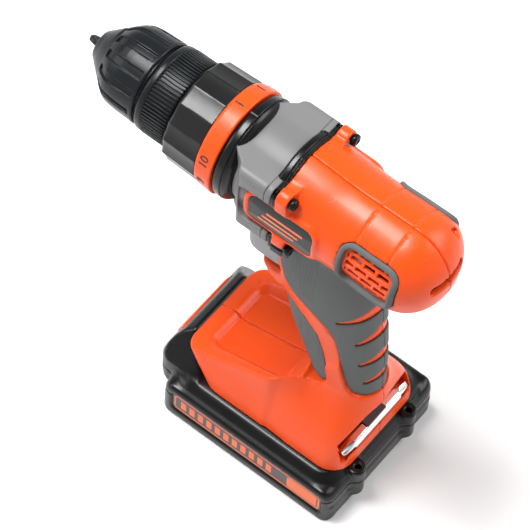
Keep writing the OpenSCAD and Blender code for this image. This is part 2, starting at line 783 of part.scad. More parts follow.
module battery_cells() color([0.35, 0.6, 0.75]) for (i = [0:cell_count - 1])
    translate([cells_mid_x + (i - (cell_count - 1) / 2) * (cell_d + 0.3), -cell_l / 2, cell_z])
        rotate([-90, 0, 0]) cylinder(h = cell_l, r = cell_d / 2);

module battery_board() color([0.1, 0.4, 0.2]) translate([-7, -18, 24.2]) cube([44, 36, 1.6]);

module release_button() color(orange) sideways(-button_half_w, button_half_w)
    polygon([[-31.3, 28], [-30.1, 32], [-28, 37], [-24.4, 37], [-27.5, 28]]);

module battery_labels() color(orange) for (side = [-1, 1])
    translate([pack_front_x + 7.2, side > 0 ? pack_half_w - 0.95 : -pack_half_w + 0.25, 6.2])
        cube([90.6, 0.7, 13.2]);

module chuck_jaw_1() chuck_jaw(0);
module chuck_jaw_2() chuck_jaw(1);
module chuck_jaw_3() chuck_jaw(2);
module output_planet_1() planet(output_stage_x, 0);
module output_planet_2() planet(output_stage_x, 1);
module output_planet_3() planet(output_stage_x, 2);
module input_planet_1() planet(input_stage_x, 0);
module input_planet_2() planet(input_stage_x, 1);
module input_planet_3() planet(input_stage_x, 2);

housing_left();
housing_right();
gearcase();
index_ring();
gearcase_gasket();
nameplate_left();
nameplate_right();
vent_ring_left();
vent_ring_right();
vent_grille_left();
vent_grille_right();
grip_rubber_left();
grip_rubber_right();
front_grip_left();
front_grip_right();
gearcase_screws();
case_screws();
spindle_bearing();
ring_gears();
gearbox_plate();
motor_can();
motor_magnets();
motor_end_bell();
switch_body();
terminal_block();
terminal_blades();
bit_clip();
spindle();
chuck_body();
chuck_screw();
chuck_rear_sleeve();
chuck_front_sleeve();
chuck_nut();
chuck_jaw_1();
chuck_jaw_2();
chuck_jaw_3();
driver_bit();
carrier();
output_planet_1();
output_planet_2();
output_planet_3();
input_planet_1();
input_planet_2();
input_planet_3();
rotor();
commutator();
torque_collar();
torque_band();
clutch_nut();
clutch_washer();
clutch_spring();
trigger();
direction_slider();
stored_bit();
battery_lower_case();
battery_upper_case();
battery_cells();
battery_board();
release_button();
battery_labels();
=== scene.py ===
"""Looks of a cordless drill driver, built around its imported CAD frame.

Lengths are millimetres in the sizes below and metres in the meshes. The chuck points along -X,
+Z is up and the battery's base is at z = 0, as in the frame.
"""

import json
import logging
import math
from dataclasses import dataclass
from enum import Enum
from typing import Callable, Sequence

import bmesh
import bpy
import numpy as np
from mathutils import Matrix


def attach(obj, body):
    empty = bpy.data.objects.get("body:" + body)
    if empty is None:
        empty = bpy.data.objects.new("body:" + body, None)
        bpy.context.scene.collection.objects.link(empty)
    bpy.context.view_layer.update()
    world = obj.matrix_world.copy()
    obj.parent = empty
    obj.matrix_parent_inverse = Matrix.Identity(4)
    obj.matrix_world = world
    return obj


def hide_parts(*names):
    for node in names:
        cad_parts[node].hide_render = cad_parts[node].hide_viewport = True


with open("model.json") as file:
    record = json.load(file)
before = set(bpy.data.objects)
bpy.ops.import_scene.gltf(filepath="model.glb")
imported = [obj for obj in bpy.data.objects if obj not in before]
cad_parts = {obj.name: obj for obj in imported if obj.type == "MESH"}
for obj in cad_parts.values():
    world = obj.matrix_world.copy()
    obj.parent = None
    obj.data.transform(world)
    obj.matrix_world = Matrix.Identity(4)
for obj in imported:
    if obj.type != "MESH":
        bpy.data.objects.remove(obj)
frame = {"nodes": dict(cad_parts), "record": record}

import openvdb
from mathutils import Matrix, Vector

LOG = logging.getLogger("drill")
MM = 0.001
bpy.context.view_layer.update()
SPINDLE_Z = 191.5

FIELD_BAND = 4
SNAP_ROUNDS = 3
SNAP_PROBE = 0.05

Array = np.ndarray
Field = Callable[[Array, Array, Array], Array]
Points = Sequence[Sequence[float]]


class Side(Enum):
    """Side of the drill, by the sign of Y."""

    LEFT = -1
    RIGHT = 1

    @property
    def label(self) -> str:
        """Name of the side, as it stands in piece names."""
        return self.name.lower()

    def span(self, near: float, far: float) -> tuple[float, float]:
        """Range of Y on this side between two distances from the middle."""
        ends = (self.value * near, self.value * far)
        return min(ends), max(ends)


# ---------------------------------------------------------------------------------------------
# Distance fields: negative inside, in millimetres
# ---------------------------------------------------------------------------------------------


def soft_min(a: Array, b: Array, k: float) -> Array:
    """Union of two fields with a fillet of about size k.

    Args:
        a: First field.
        b: Second field.
        k: Fillet size in millimetres.

    Returns:
        The blended field.
    """
    h = np.clip(0.5 + 0.5 * (b - a) / k, 0.0, 1.0)
    return b * (1 - h) + a * h - k * h * (1 - h)


def soft_max(a: Array, b: Array, k: float) -> Array:
    """Intersection of two fields with a rounded edge of about size k."""
    return -soft_min(-a, -b, k)


def box_field(x: Array, y: Array, z: Array, low: Sequence[float], high: Sequence[float], r: float) -> Array:
    """Box from its low to its high corner, with edges rounded by r.

    Args:
        x: X of the points.
        y: Y of the points.
        z: Z of the points.
        low: Low corner.
        high: High corner.
        r: Edge radius.

    Returns:
        Signed distance.
    """
    outside = 0.0
    deepest = None
    for value, lo, hi in zip((x, y, z), low, high):
        d = np.abs(value - (lo + hi) / 2) - (hi - lo) / 2 + r
        outside = outside + np.maximum(d, 0) ** 2
        deepest = d if deepest is None else np.maximum(deepest, d)
    return np.sqrt(outside) + np.minimum(deepest, 0) - r


def rect_field(u: Array, v: Array, low: Sequence[float], high: Sequence[float], r: float) -> Array:
    """Rounded rectangle in a plane, as a signed distance.

    Args:
        u: First coordinate of the points.
        v: Second coordinate of the points.
        low: Low corner.
        high: High corner.
        r: Corner radius.

    Returns:
        Signed distance in millimetres, negative inside.
    """
    du = np.abs(u - (low[0] + high[0]) / 2) - (high[0] - low[0]) / 2 + r
    dv = np.abs(v - (low[1] + high[1]) / 2) - (high[1] - low[1]) / 2 + r
    return np.hypot(np.maximum(du, 0), np.maximum(dv, 0)) + np.minimum(np.maximum(du, dv), 0) - r


def polygon_field(u: Array, v: Array, points: Sequence[Sequence[float]]) -> Array:
    """Signed distance to a closed polygon in a plane.

    Args:
        u: First coordinate of the points.
        v: Second coordinate of the points.
        points: Corners in order.

    Returns:
        Signed distance, negative inside.
    """
    best = None
    sign = 1.0
    count = len(points)
    for i in range(count):
        ax, ay = points[i]
        bx, by = points[i - 1]
        ex, ey = bx - ax, by - ay
        wx, wy = u - ax, v - ay
        t = np.clip((wx * ex + wy * ey) / (ex * ex + ey * ey), 0.0, 1.0)
        d = (wx - ex * t) ** 2 + (wy - ey * t) ** 2
        best = d if best is None else np.minimum(best, d)
        above = v >= ay
        below = v < by
        cross = ex * wy > ey * wx
        flips = (above & below & cross) | (~above & ~below & ~cross)
        sign = np.where(flips, -sign, sign)
    return sign * np.sqrt(best)


def curve(at: Array, points: Sequence[Sequence[float]]) -> Array:
    """Smooth curve through station and value pairs.

    Args:
        at: Stations to evaluate.
        points: Pairs of station and value, in rising station order.

    Returns:
        Values of a cubic Hermite curve with finite-difference slopes.
    """
    s = np.array([p[0] for p in points], float)
    v = np.array([p[1] for p in points], float)
    slope = np.gradient(v, s)
    i = np.clip(np.searchsorted(s, at) - 1, 0, len(s) - 2)
    h = s[i + 1] - s[i]
    t = np.clip((at - s[i]) / h, 0.0, 1.0)
    a = (1 + 2 * t) * (1 - t) ** 2 * v[i] + t * (1 - t) ** 2 * h * slope[i]
    return a + t * t * (3 - 2 * t) * v[i + 1] + t * t * (t - 1) * h * slope[i + 1]


# ---------------------------------------------------------------------------------------------
# Meshes
# ---------------------------------------------------------------------------------------------


def linked(name: str, data: bpy.types.ID) -> bpy.types.Object:
    """Make an object of some data and link it to the scene.

    Args:
        name: Object name.
        data: Mesh, curve, camera or light.

    Returns:
        The new object.
    """
    item = bpy.data.objects.new(name, data)
    bpy.context.scene.collection.objects.link(item)
    return item


def link_mesh(name: str, points: Array, faces: Sequence[Sequence[int]]) -> bpy.types.Object:
    """Make an object in the scene from points in metres.

    Args:
        name: Piece name.
        points: Vertices in metres.
        faces: Vertex loops.

    Returns:
        The new object, smooth shaded.
    """
    mesh = bpy.data.meshes.new(name)
    mesh.from_pydata([tuple(p) for p in points], [], [tuple(f) for f in faces])
    mesh.validate()
    mesh.polygons.foreach_set("use_smooth", [True] * len(mesh.polygons))
    mesh.update()
    return linked(name, mesh)


def solid(name: str, shape: Field, low: Sequence[float], high: Sequence[float], step: float,
          adaptivity: float = 0.0) -> bpy.types.Object:
    """Mesh the surface where a field is zero.

    Args:
        name: Piece name.
        shape: Field in millimetres.
        low: Low corner of the sampled box.
        high: High corner of the sampled box.
        step: Grid spacing in millimetres.
        adaptivity: How far flat stretches may be merged, from 0 to 1.

    Returns:
        A closed piece whose vertices lie on the surface.
    """
    step = step * 1.0
    band = FIELD_BAND * step
    axes = [np.arange(lo - 2 * step, hi + 3 * step, step) for lo, hi in zip(low, high)]
    values = np.broadcast_to(
        shape(axes[0][:, None, None], axes[1][None, :, None], axes[2][None, None, :]),
        tuple(len(a) for a in axes)).astype(np.float32)
    grid = openvdb.FloatGrid(band)
    grid.copyFromArray(np.clip(values, -band, band))
    points, triangles, quads = grid.convertToPolygons(isovalue=0.0, adaptivity=adaptivity)
    p = points.astype(float) * step + np.array([a[0] for a in axes])
    eps = SNAP_PROBE
    for _ in range(SNAP_ROUNDS):
        x, y, z = p.T
        f = shape(x, y, z)
        g = np.stack([shape(x + eps, y, z) - f, shape(x, y + eps, z) - f, shape(x, y, z + eps) - f], 1) / eps
        move = (f / np.maximum((g ** 2).sum(1), 0.15))[:, None] * g
        length = np.linalg.norm(move, axis=1, keepdims=True)
        p = p - move * np.minimum(1.0, 0.5 * step / np.maximum(length, 1e-9))
    faces = [tuple(t) for t in triangles] + [tuple(q) for q in quads]
    piece = link_mesh(name, p * MM, faces)
    point_outwards(piece)
    return piece


def turned(name: str, wall: Points, ends: tuple[float, float], reach: float, step: float) -> bpy.types.Object:
    """Mesh a section turned about the spindle axis.

    Args:
        name: Piece name.
        wall: Closed section as pairs of X and radius.
        ends: Low and high X of the sampled box.
        reach: Half width of the sampled box.
        step: Grid spacing in millimetres.

    Returns:
        The object.
    """
    return solid(name, lambda x, y, z: polygon_field(x, radius(y, z), wall),
                 (ends[0], -reach, SPINDLE_Z - reach), (ends[1], reach, SPINDLE_Z + reach), step)


def stacked(name: str, rings: Sequence[Points]) -> bpy.types.Object:
    """Close a stack of point rings into a piece, with a face at both ends.

    Args:
        name: Piece name.
        rings: Rings of equally many points, in millimetres.

    Returns:
        The object.
    """
    n, last = len(rings[0]), len(rings) - 1
    faces = [(k * n + i, k * n + (i + 1) % n, (k + 1) * n + (i + 1) % n, (k + 1) * n + i)
             for k in range(last) for i in range(n)]
    faces += [tuple(range(n)), tuple(last * n + i for i in range(n))]
    piece = link_mesh(name, np.array([p for ring in rings for p in ring]) * MM, faces)
    point_outwards(piece)
    return piece


def point_outwards(piece: bpy.types.Object) -> None:
    """Turn every face of a closed piece outwards.

    Args:
        piece: Piece whose mesh is changed.
    """
    bm = bmesh.new()
    bm.from_mesh(piece.data)
    bmesh.ops.recalc_face_normals(bm, faces=bm.faces)
    if bm.calc_volume(signed=True) < 0:
        bmesh.ops.reverse_faces(bm, faces=bm.faces)
    bm.to_mesh(piece.data)
    bm.free()
    piece.data.update()


# ---------------------------------------------------------------------------------------------
# Finishes
# ---------------------------------------------------------------------------------------------


@dataclass(frozen=True)
class Finish:
    """One surface finish.

    Attributes:
        name: Material name.
        colour: Linear base colour.
        roughness: Mean roughness.
        metallic: 1 for bare metal.
        grain: Size of the fine texture, in features per metre.
        bump: Height of the fine texture in metres.
        variation: Share by which the colour drifts over the piece.
        coat: Weight of a clear gloss layer.
        specular: Specular level.
    """

    name: str
    colour: tuple[float, float, float]
    roughness: float
    metallic: float = 0.0
    grain: float = 1800.0
    bump: float = 0.00002
    variation: float = 0.04
    coat: float = 0.0
    specular: float = 0.5

    def material(self) -> bpy.types.Material:
        """Build the node material.

        Returns:
            The material, made once and then reused.
        """
        if self.name in bpy.data.materials:
            return bpy.data.materials[self.name]
        material = bpy.data.materials.new(self.name)
        material.use_nodes = True
        nodes, links = material.node_tree.nodes, material.node_tree.links
        shader = nodes["Principled BSDF"]
        shader.inputs["Metallic"].default_value = self.metallic
        shader.inputs["Coat Weight"].default_value = self.coat
        shader.inputs["Coat Roughness"].default_value = 0.12
        shader.inputs["Specular IOR Level"].default_value = self.specular
        place = nodes.new("ShaderNodeTexCoord")
        drift = nodes.new("ShaderNodeTexNoise")
        drift.inputs["Scale"].default_value = 55.0
        drift.inputs["Detail"].default_value = 3.0
        links.new(place.outputs["Object"], drift.inputs["Vector"])
        tint = nodes.new("ShaderNodeMix")
        tint.data_type = "RGBA"
        dark = [c * (1 - self.variation) for c in self.colour]
        light = [min(1.0, c * (1 + self.variation)) for c in self.colour]
        tint.inputs["A"].default_value = (*dark, 1)
        tint.inputs["B"].default_value = (*light, 1)
        links.new(drift.outputs["Fac"], tint.inputs["Factor"])
        links.new(tint.outputs["Result"], shader.inputs["Base Color"])
        fine = nodes.new("ShaderNodeTexNoise")
        fine.inputs["Scale"].default_value = self.grain
        fine.inputs["Detail"].default_value = 2.0
        links.new(place.outputs["Object"], fine.inputs["Vector"])
        rough = nodes.new("ShaderNodeMapRange")
        rough.inputs["To Min"].default_value = max(0.02, self.roughness - 0.06)
        rough.inputs["To Max"].default_value = min(1.0, self.roughness + 0.06)
        links.new(drift.outputs["Fac"], rough.inputs["Value"])
        links.new(rough.outputs["Result"], shader.inputs["Roughness"])
        bump = nodes.new("ShaderNodeBump")
        bump.inputs["Distance"].default_value = self.bump
        bump.inputs["Strength"].default_value = 1.0
        links.new(fine.outputs["Fac"], bump.inputs["Height"])
        links.new(bump.outputs["Normal"], shader.inputs["Normal"])
        return material


ORANGE = Finish("orange_plastic", (0.80, 0.070, 0.004), 0.35, coat=0.05, specular=0.3)
GEARCASE_GREY = Finish("gearcase_grey", (0.15, 0.15, 0.152), 0.45, bump=0.00003, specular=0.4)
BLACK = Finish("black_plastic", (0.006, 0.006, 0.0065), 0.34, specular=0.3)
BATTERY_BLACK = Finish("battery_black", (0.004, 0.004, 0.0045), 0.28, bump=0.00002, specular=0.3)
# Black chuck plastic; its faint blue tint is a painted reflection of the teal surroundings, not the plastic's own
# colour.
CHUCK_BLACK_PAINTED_REFLECTION = Finish("chuck_black_painted_reflection", (0.006, 0.0075, 0.009), 0.32, specular=0.25)
RUBBER = Finish("grip_rubber", (0.011, 0.0135, 0.0135), 0.44, bump=0.00004, specular=0.22)
TRIGGER_GREY = Finish("trigger_grey", (0.14, 0.14, 0.145), 0.40)
SCREW = Finish("screw_black", (0.02, 0.02, 0.02), 0.30, metallic=0.9)
BRIGHT = Finish("bright_steel", (0.62, 0.62, 0.64), 0.16, metallic=1.0, grain=900, bump=0.00001)
MACHINED = Finish("machined_steel", (0.45, 0.45, 0.46), 0.30, metallic=1.0, grain=1200, bump=0.00001)
CAN = Finish("plated_can", (0.55, 0.56, 0.58), 0.26, metallic=1.0)
FERRITE = Finish("ferrite", (0.03, 0.03, 0.032), 0.6)
COPPER = Finish("contact_copper", (0.75, 0.36, 0.14), 0.25, metallic=1.0)
CELL = Finish("cell_wrap", (0.05, 0.17, 0.36), 0.3)
BOARD = Finish("circuit_board", (0.01, 0.09, 0.025), 0.35)

SLOT_FINISH = {
    "orange_shell": ORANGE, "grey_gearcase": GEARCASE_GREY, "black_plastic": BLACK,
    "battery_plastic": BATTERY_BLACK, "chuck_plastic": CHUCK_BLACK_PAINTED_REFLECTION, "grip_rubber": RUBBER,
    "screw_steel": SCREW, "bright_steel": BRIGHT, "machined_steel": MACHINED, "plated_can": CAN,
    "ferrite": FERRITE, "copper": COPPER, "trigger_grey": TRIGGER_GREY, "cell_wrap": CELL,
    "circuit_board": BOARD, "label_panel": ORANGE,
}

MARK_DARK = Finish("mark_dark", (0.02, 0.018, 0.018), 0.45)
MARK_GREY = Finish("mark_grey", (0.10, 0.10, 0.10), 0.45)
COLLAR_BLACK = Finish("collar_black", (0.006, 0.006, 0.0065), 0.30, specular=0.4)
GLOSS_BLACK = Finish("gloss_black", (0.004, 0.004, 0.0045), 0.25, bump=0.000005, specular=0.3)
STRIPE_ORANGE = Finish("printed_orange", (0.80, 0.14, 0.03), 0.40, bump=0.000005)
LABEL_DARK = Finish("label_dark", (0.03, 0.022, 0.02), 0.32, bump=0.000005)
BIT_BLACK = Finish("bit_black", (0.015, 0.017, 0.02), 0.28, metallic=0.6)


def dress(piece: bpy.types.Object, finish: Finish) -> None:
    """Give a piece one finish all over."""
    piece.data.materials.clear()
    piece.data.materials.append(finish.material())


# ---------------------------------------------------------------------------------------------
# Repeats made by Geometry Nodes
# ---------------------------------------------------------------------------------------------


class Layout(Enum):
    """How copies are laid out."""

    RING = "ring"
    ROW = "row"


def repeat_tree(layout: Layout) -> bpy.types.NodeTree:
    """Build the node tree that repeats a piece in a ring about the spindle axis or in a row.

    Args:
        layout: Ring or row.

    Returns:
        The tree, with named inputs, ending in Realize Instances and Set Material.
    """
    name = f"repeat_{layout.value}"
    if name in bpy.data.node_groups:
        return bpy.data.node_groups[name]
    tree = bpy.data.node_groups.new(name, "GeometryNodeTree")
    sockets = [("Geometry", "NodeSocketGeometry"), ("Count", "NodeSocketInt"),
               ("Place", "NodeSocketVector"), ("Step", "NodeSocketVector"),
               ("Start Angle", "NodeSocketFloat"), ("Step Angle", "NodeSocketFloat"),
               ("Radius", "NodeSocketFloat"), ("Finish", "NodeSocketMaterial")]
    for label, kind in sockets:
        tree.interface.new_socket(label, in_out="INPUT", socket_type=kind)
    tree.interface.new_socket("Geometry", in_out="OUTPUT", socket_type="NodeSocketGeometry")
    nodes, links = tree.nodes, tree.links
    inputs, output = nodes.new("NodeGroupInput"), nodes.new("NodeGroupOutput")
    index = nodes.new("GeometryNodeInputIndex")

    def maths(operation: str, a: bpy.types.NodeSocket,
              b: bpy.types.NodeSocket | None = None) -> bpy.types.NodeSocket:
        """Add a math node.

        Args:
            operation: What the node works out.
            a: First value.
            b: Second value, where the operation takes two.

        Returns:
            The node's result.
        """
        node = nodes.new("ShaderNodeMath")
        node.operation = operation
        links.new(a, node.inputs[0])
        if b is not None:
            links.new(b, node.inputs[1])
        return node.outputs[0]

    angle = maths("ADD", maths("MULTIPLY", index.outputs[0], inputs.outputs["Step Angle"]),
                  inputs.outputs["Start Angle"])
    around = nodes.new("ShaderNodeCombineXYZ")
    links.new(maths("MULTIPLY", maths("MULTIPLY", maths("SINE", angle), inputs.outputs["Radius"]),
                    constant(nodes, -1.0)), around.inputs["Y"])
    links.new(maths("MULTIPLY", maths("COSINE", angle), inputs.outputs["Radius"]), around.inputs["Z"])
    along = nodes.new("ShaderNodeVectorMath")
    along.operation = "SCALE"
    links.new(inputs.outputs["Step"], along.inputs[0])
    links.new(index.outputs[0], along.inputs["Scale"])
    first = nodes.new("ShaderNodeVectorMath")
    links.new(inputs.outputs["Place"], first.inputs[0])
    links.new(along.outputs[0], first.inputs[1])
    place = nodes.new("ShaderNodeVectorMath")
    links.new(first.outputs[0], place.inputs[0])
    links.new(around.outputs[0], place.inputs[1])
    turn = nodes.new("ShaderNodeCombineXYZ")
    links.new(angle, turn.inputs["X"])
    points = nodes.new("GeometryNodePoints")
    links.new(inputs.outputs["Count"], points.inputs["Count"])
    links.new(place.outputs[0], points.inputs["Position"])
    copies = nodes.new("GeometryNodeInstanceOnPoints")
    links.new(points.outputs[0], copies.inputs["Points"])
    links.new(inputs.outputs["Geometry"], copies.inputs["Instance"])
    if layout is Layout.RING:
        links.new(turn.outputs[0], copies.inputs["Rotation"])
    real = nodes.new("GeometryNodeRealizeInstances")
    finish = nodes.new("GeometryNodeSetMaterial")
    links.new(copies.outputs[0], real.inputs[0])
    links.new(real.outputs[0], finish.inputs["Geometry"])
    links.new(inputs.outputs["Finish"], finish.inputs["Material"])
    links.new(finish.outputs[0], output.inputs[0])
    return tree


def constant(nodes: bpy.types.Nodes, value: float) -> bpy.types.NodeSocket:
    """Add a value node.

    Args:
        nodes: Nodes of the tree.
        value: The number it gives.

    Returns:
        The node's output.
    """
    node = nodes.new("ShaderNodeValue")
    node.outputs[0].default_value = value
    return node.outputs[0]


def repeat(name: str, one: bpy.types.Object, layout: Layout, count: int, finish: Finish,
           place: Sequence[float] = (0.0, 0.0, 0.0), step: Sequence[float] = (0.0, 0.0, 0.0),
           start: float = 0.0, turn: float = 0.0, radius: float = 0.0) -> bpy.types.Object:
    """Repeat a small piece and return the copies as one plain mesh.

    Args:
        name: Name of the result.
        one: The piece to repeat, which is removed.
        layout: Ring or row.
        count: Number of copies.
        finish: Finish of every copy.
        place: Where the first copy, or the ring's centre, goes, in millimetres.
        step: Shift from one copy to the next, in millimetres.
        start: Angle of the first copy, in degrees.
        turn: Angle from one copy to the next, in degrees.
        radius: Ring radius in millimetres.

    Returns:
        The finished object.
    """
    tree = repeat_tree(layout)
    modifier = one.modifiers.new("repeat", "NODES")
    modifier.node_group = tree
    values = {"Count": count, "Place": [v * MM for v in place], "Step": [v * MM for v in step],
              "Start Angle": math.radians(start), "Step Angle": math.radians(turn),
              "Radius": radius * MM, "Finish": finish.material()}
    for item in tree.interface.items_tree:
        if item.in_out == "INPUT" and item.name in values:
            modifier[item.identifier] = values[item.name]
    graph = bpy.context.evaluated_depsgraph_get()
    graph.update()
    mesh = bpy.data.meshes.new_from_object(one.evaluated_get(graph), depsgraph=graph)
    one.modifiers.remove(modifier)
    bpy.data.objects.remove(one)
    mesh.name = name
    mesh.materials.clear()
    mesh.materials.append(finish.material())
    return linked(name, mesh)


def joined(name: str, pieces: Sequence[bpy.types.Object]) -> bpy.types.Object:
    """Join pieces into one mesh, keeping each one's finish.

    Args:
        name: Name of the result.
        pieces: Objects to join; all but their meshes are removed.

    Returns:
        The joined object.
    """
    points, faces, slots, materials, smooth = [], [], [], [], []
    for piece in pieces:
        base = len(points)
        points += [v.co.copy() for v in piece.data.vertices]
        own = list(piece.data.materials)
        for m in own:
            if m not in materials:
                materials.append(m)
        for f in piece.data.polygons:
            faces.append([base + v for v in f.vertices])
            slots.append(materials.index(own[f.material_index]) if own else 0)
            smooth.append(f.use_smooth)
        bpy.data.objects.remove(piece)
    mesh = bpy.data.meshes.new(name)
    mesh.from_pydata(points, [], faces)
    for m in materials:
        mesh.materials.append(m)
    mesh.polygons.foreach_set("material_index", slots)
    mesh.polygons.foreach_set("use_smooth", smooth)
    mesh.update()
    return linked(name, mesh)


def block(name: str, low: Sequence[float], high: Sequence[float], edge: float,
          segments: int = 2) -> bpy.types.Object:
    """Small box with rounded edges, its place in its mesh.

    Args:
        name: Piece name.
        low: Low corner in millimetres.
        high: High corner in millimetres.
        edge: Edge rounding in millimetres.
        segments: Steps in the rounding.

    Returns:
        The object.
    """
    bm = bmesh.new()
    bmesh.ops.create_cube(bm, size=1.0)
    size = Vector([(h - l) for l, h in zip(low, high)])
    middle = Vector([(h + l) / 2 for l, h in zip(low, high)])
    for v in bm.verts:
        v.co = Vector([c * s for c, s in zip(v.co, size)]) * MM + middle * MM
    if edge > 0:
        bmesh.ops.bevel(bm, geom=list(bm.edges), offset=edge * MM, segments=segments, affect="EDGES",
                        profile=0.5)
    mesh = bpy.data.meshes.new(name)
    bm.to_mesh(mesh)
    bm.free()
    return linked(name, mesh)


def rounded_loop(low: Sequence[float], high: Sequence[float], r: float,
                 arc: int = 8) -> list[tuple[float, float]]:
    """Points round a rounded rectangle, in order.

    Args:
        low: Low corner.
        high: High corner.
        r: Corner radius.
        arc: Steps in each corner.

    Returns:
        List of (u, v) points.
    """
    corners = [(high[0] - r, high[1] - r, 0), (low[0] + r, high[1] - r, 90),
               (low[0] + r, low[1] + r, 180), (high[0] - r, low[1] + r, 270)]
    turns = [(cu, cv, math.radians(a + 90 * i / arc)) for cu, cv, a in corners for i in range(arc + 1)]
    return [(cu + r * math.cos(a), cv + r * math.sin(a)) for cu, cv, a in turns]


def panel(name: str, loop: Sequence[tuple[float, float]], surface: Callable[[float, float], float],
          thick: float, hole: Sequence[tuple[float, float]] | None = None) -> bpy.types.Object:
    """Thin plate on a side of the drill, or a frame if it has a hole.

    Args:
        name: Piece name.
        loop: Outline in X and Z.
        surface: Gives Y of the plate's outer face at an X and Z.
        thick: Signed thickness, from the outer face towards the drill's middle.
        hole: Inner outline with as many points as the outline.

    Returns:
        The object.
    """
    n, steps = len(loop), 6
    cx, cz = sum(p[0] for p in loop) / n, sum(p[1] for p in loop) / n
    rings = [loop, hole] if hole else [
        [(cx + (x - cx) * k / steps, cz + (z - cz) * k / steps) for x, z in loop] for k in range(steps, 0, -1)]
    points = []
    for depth in (0.0, thick):
        for ring in rings:
            points += [(x * MM, (surface(x, z) + depth) * MM, z * MM) for x, z in ring]
        if not hole:
            points.append((cx * MM, (surface(cx, cz) + depth) * MM, cz * MM))
    layer = len(rings) * n + (0 if hole else 1)
    faces = []
    for side in (0, 1):
        o = side * layer
        starts = [o + k * n for k in range(len(rings))]
        for a, b in zip(starts, starts[1:]):
            faces += [(a + i, a + (i + 1) % n, b + (i + 1) % n, b + i) for i in range(n)]
        if not hole:
            k = starts[-1]
            faces += [(k + i, k + (i + 1) % n, o + layer - 1) for i in range(n)]
    for e in (0, n) if hole else (0,):
        faces += [(e + i, e + (i + 1) % n, layer + e + (i + 1) % n, layer + e + i) for i in range(n)]
    piece = link_mesh(name, np.array(points), faces)
    point_outwards(piece)
    piece.data.polygons.foreach_set("use_smooth", [False] * len(piece.data.polygons))
    return piece


def declare(piece: bpy.types.Object, body: str, slot: str, *nodes: str, finish: Finish | None = None) -> None:
    """Ride a finished piece on its body and hide the CAD nodes it stands for.

    Args:
        piece: The finished piece.
        body: CAD body it moves with.
        slot: Material slot of the record; not used.
        nodes: CAD nodes it replaces.
        finish: Finish all over, or none for a piece that has its finishes.
    """
    if finish:
        dress(piece, finish)
    if nodes:
        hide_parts(*nodes)
    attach(piece, body)
    LOG.info("%s on %s, %d faces", piece.name, body, len(piece.data.polygons))


# ---------------------------------------------------------------------------------------------
# Chuck
# ---------------------------------------------------------------------------------------------


def radius(y: Array, z: Array) -> Array:
    """Distance from the spindle axis."""
    return np.hypot(y, z - SPINDLE_Z)


def around(y: Array, z: Array) -> Array:
    """Angle about the spindle axis in degrees, 0 at the top and 90 at the left side."""
    return np.degrees(np.arctan2(-y, z - SPINDLE_Z))


def from_screws(y: Array, z: Array, screw: tuple[float, float]) -> Array:
    """Distance from the nearest of the four corner screws' axes."""
    return np.hypot(np.abs(y) - screw[0], np.abs(z - SPINDLE_Z) - screw[1])


def from_nearest(angle: Array, count: int, first: float) -> Array:
    """Angle in degrees from the nearest of several evenly spaced angles."""
    step = 360.0 / count
    return (angle - first + step / 2) % step - step / 2


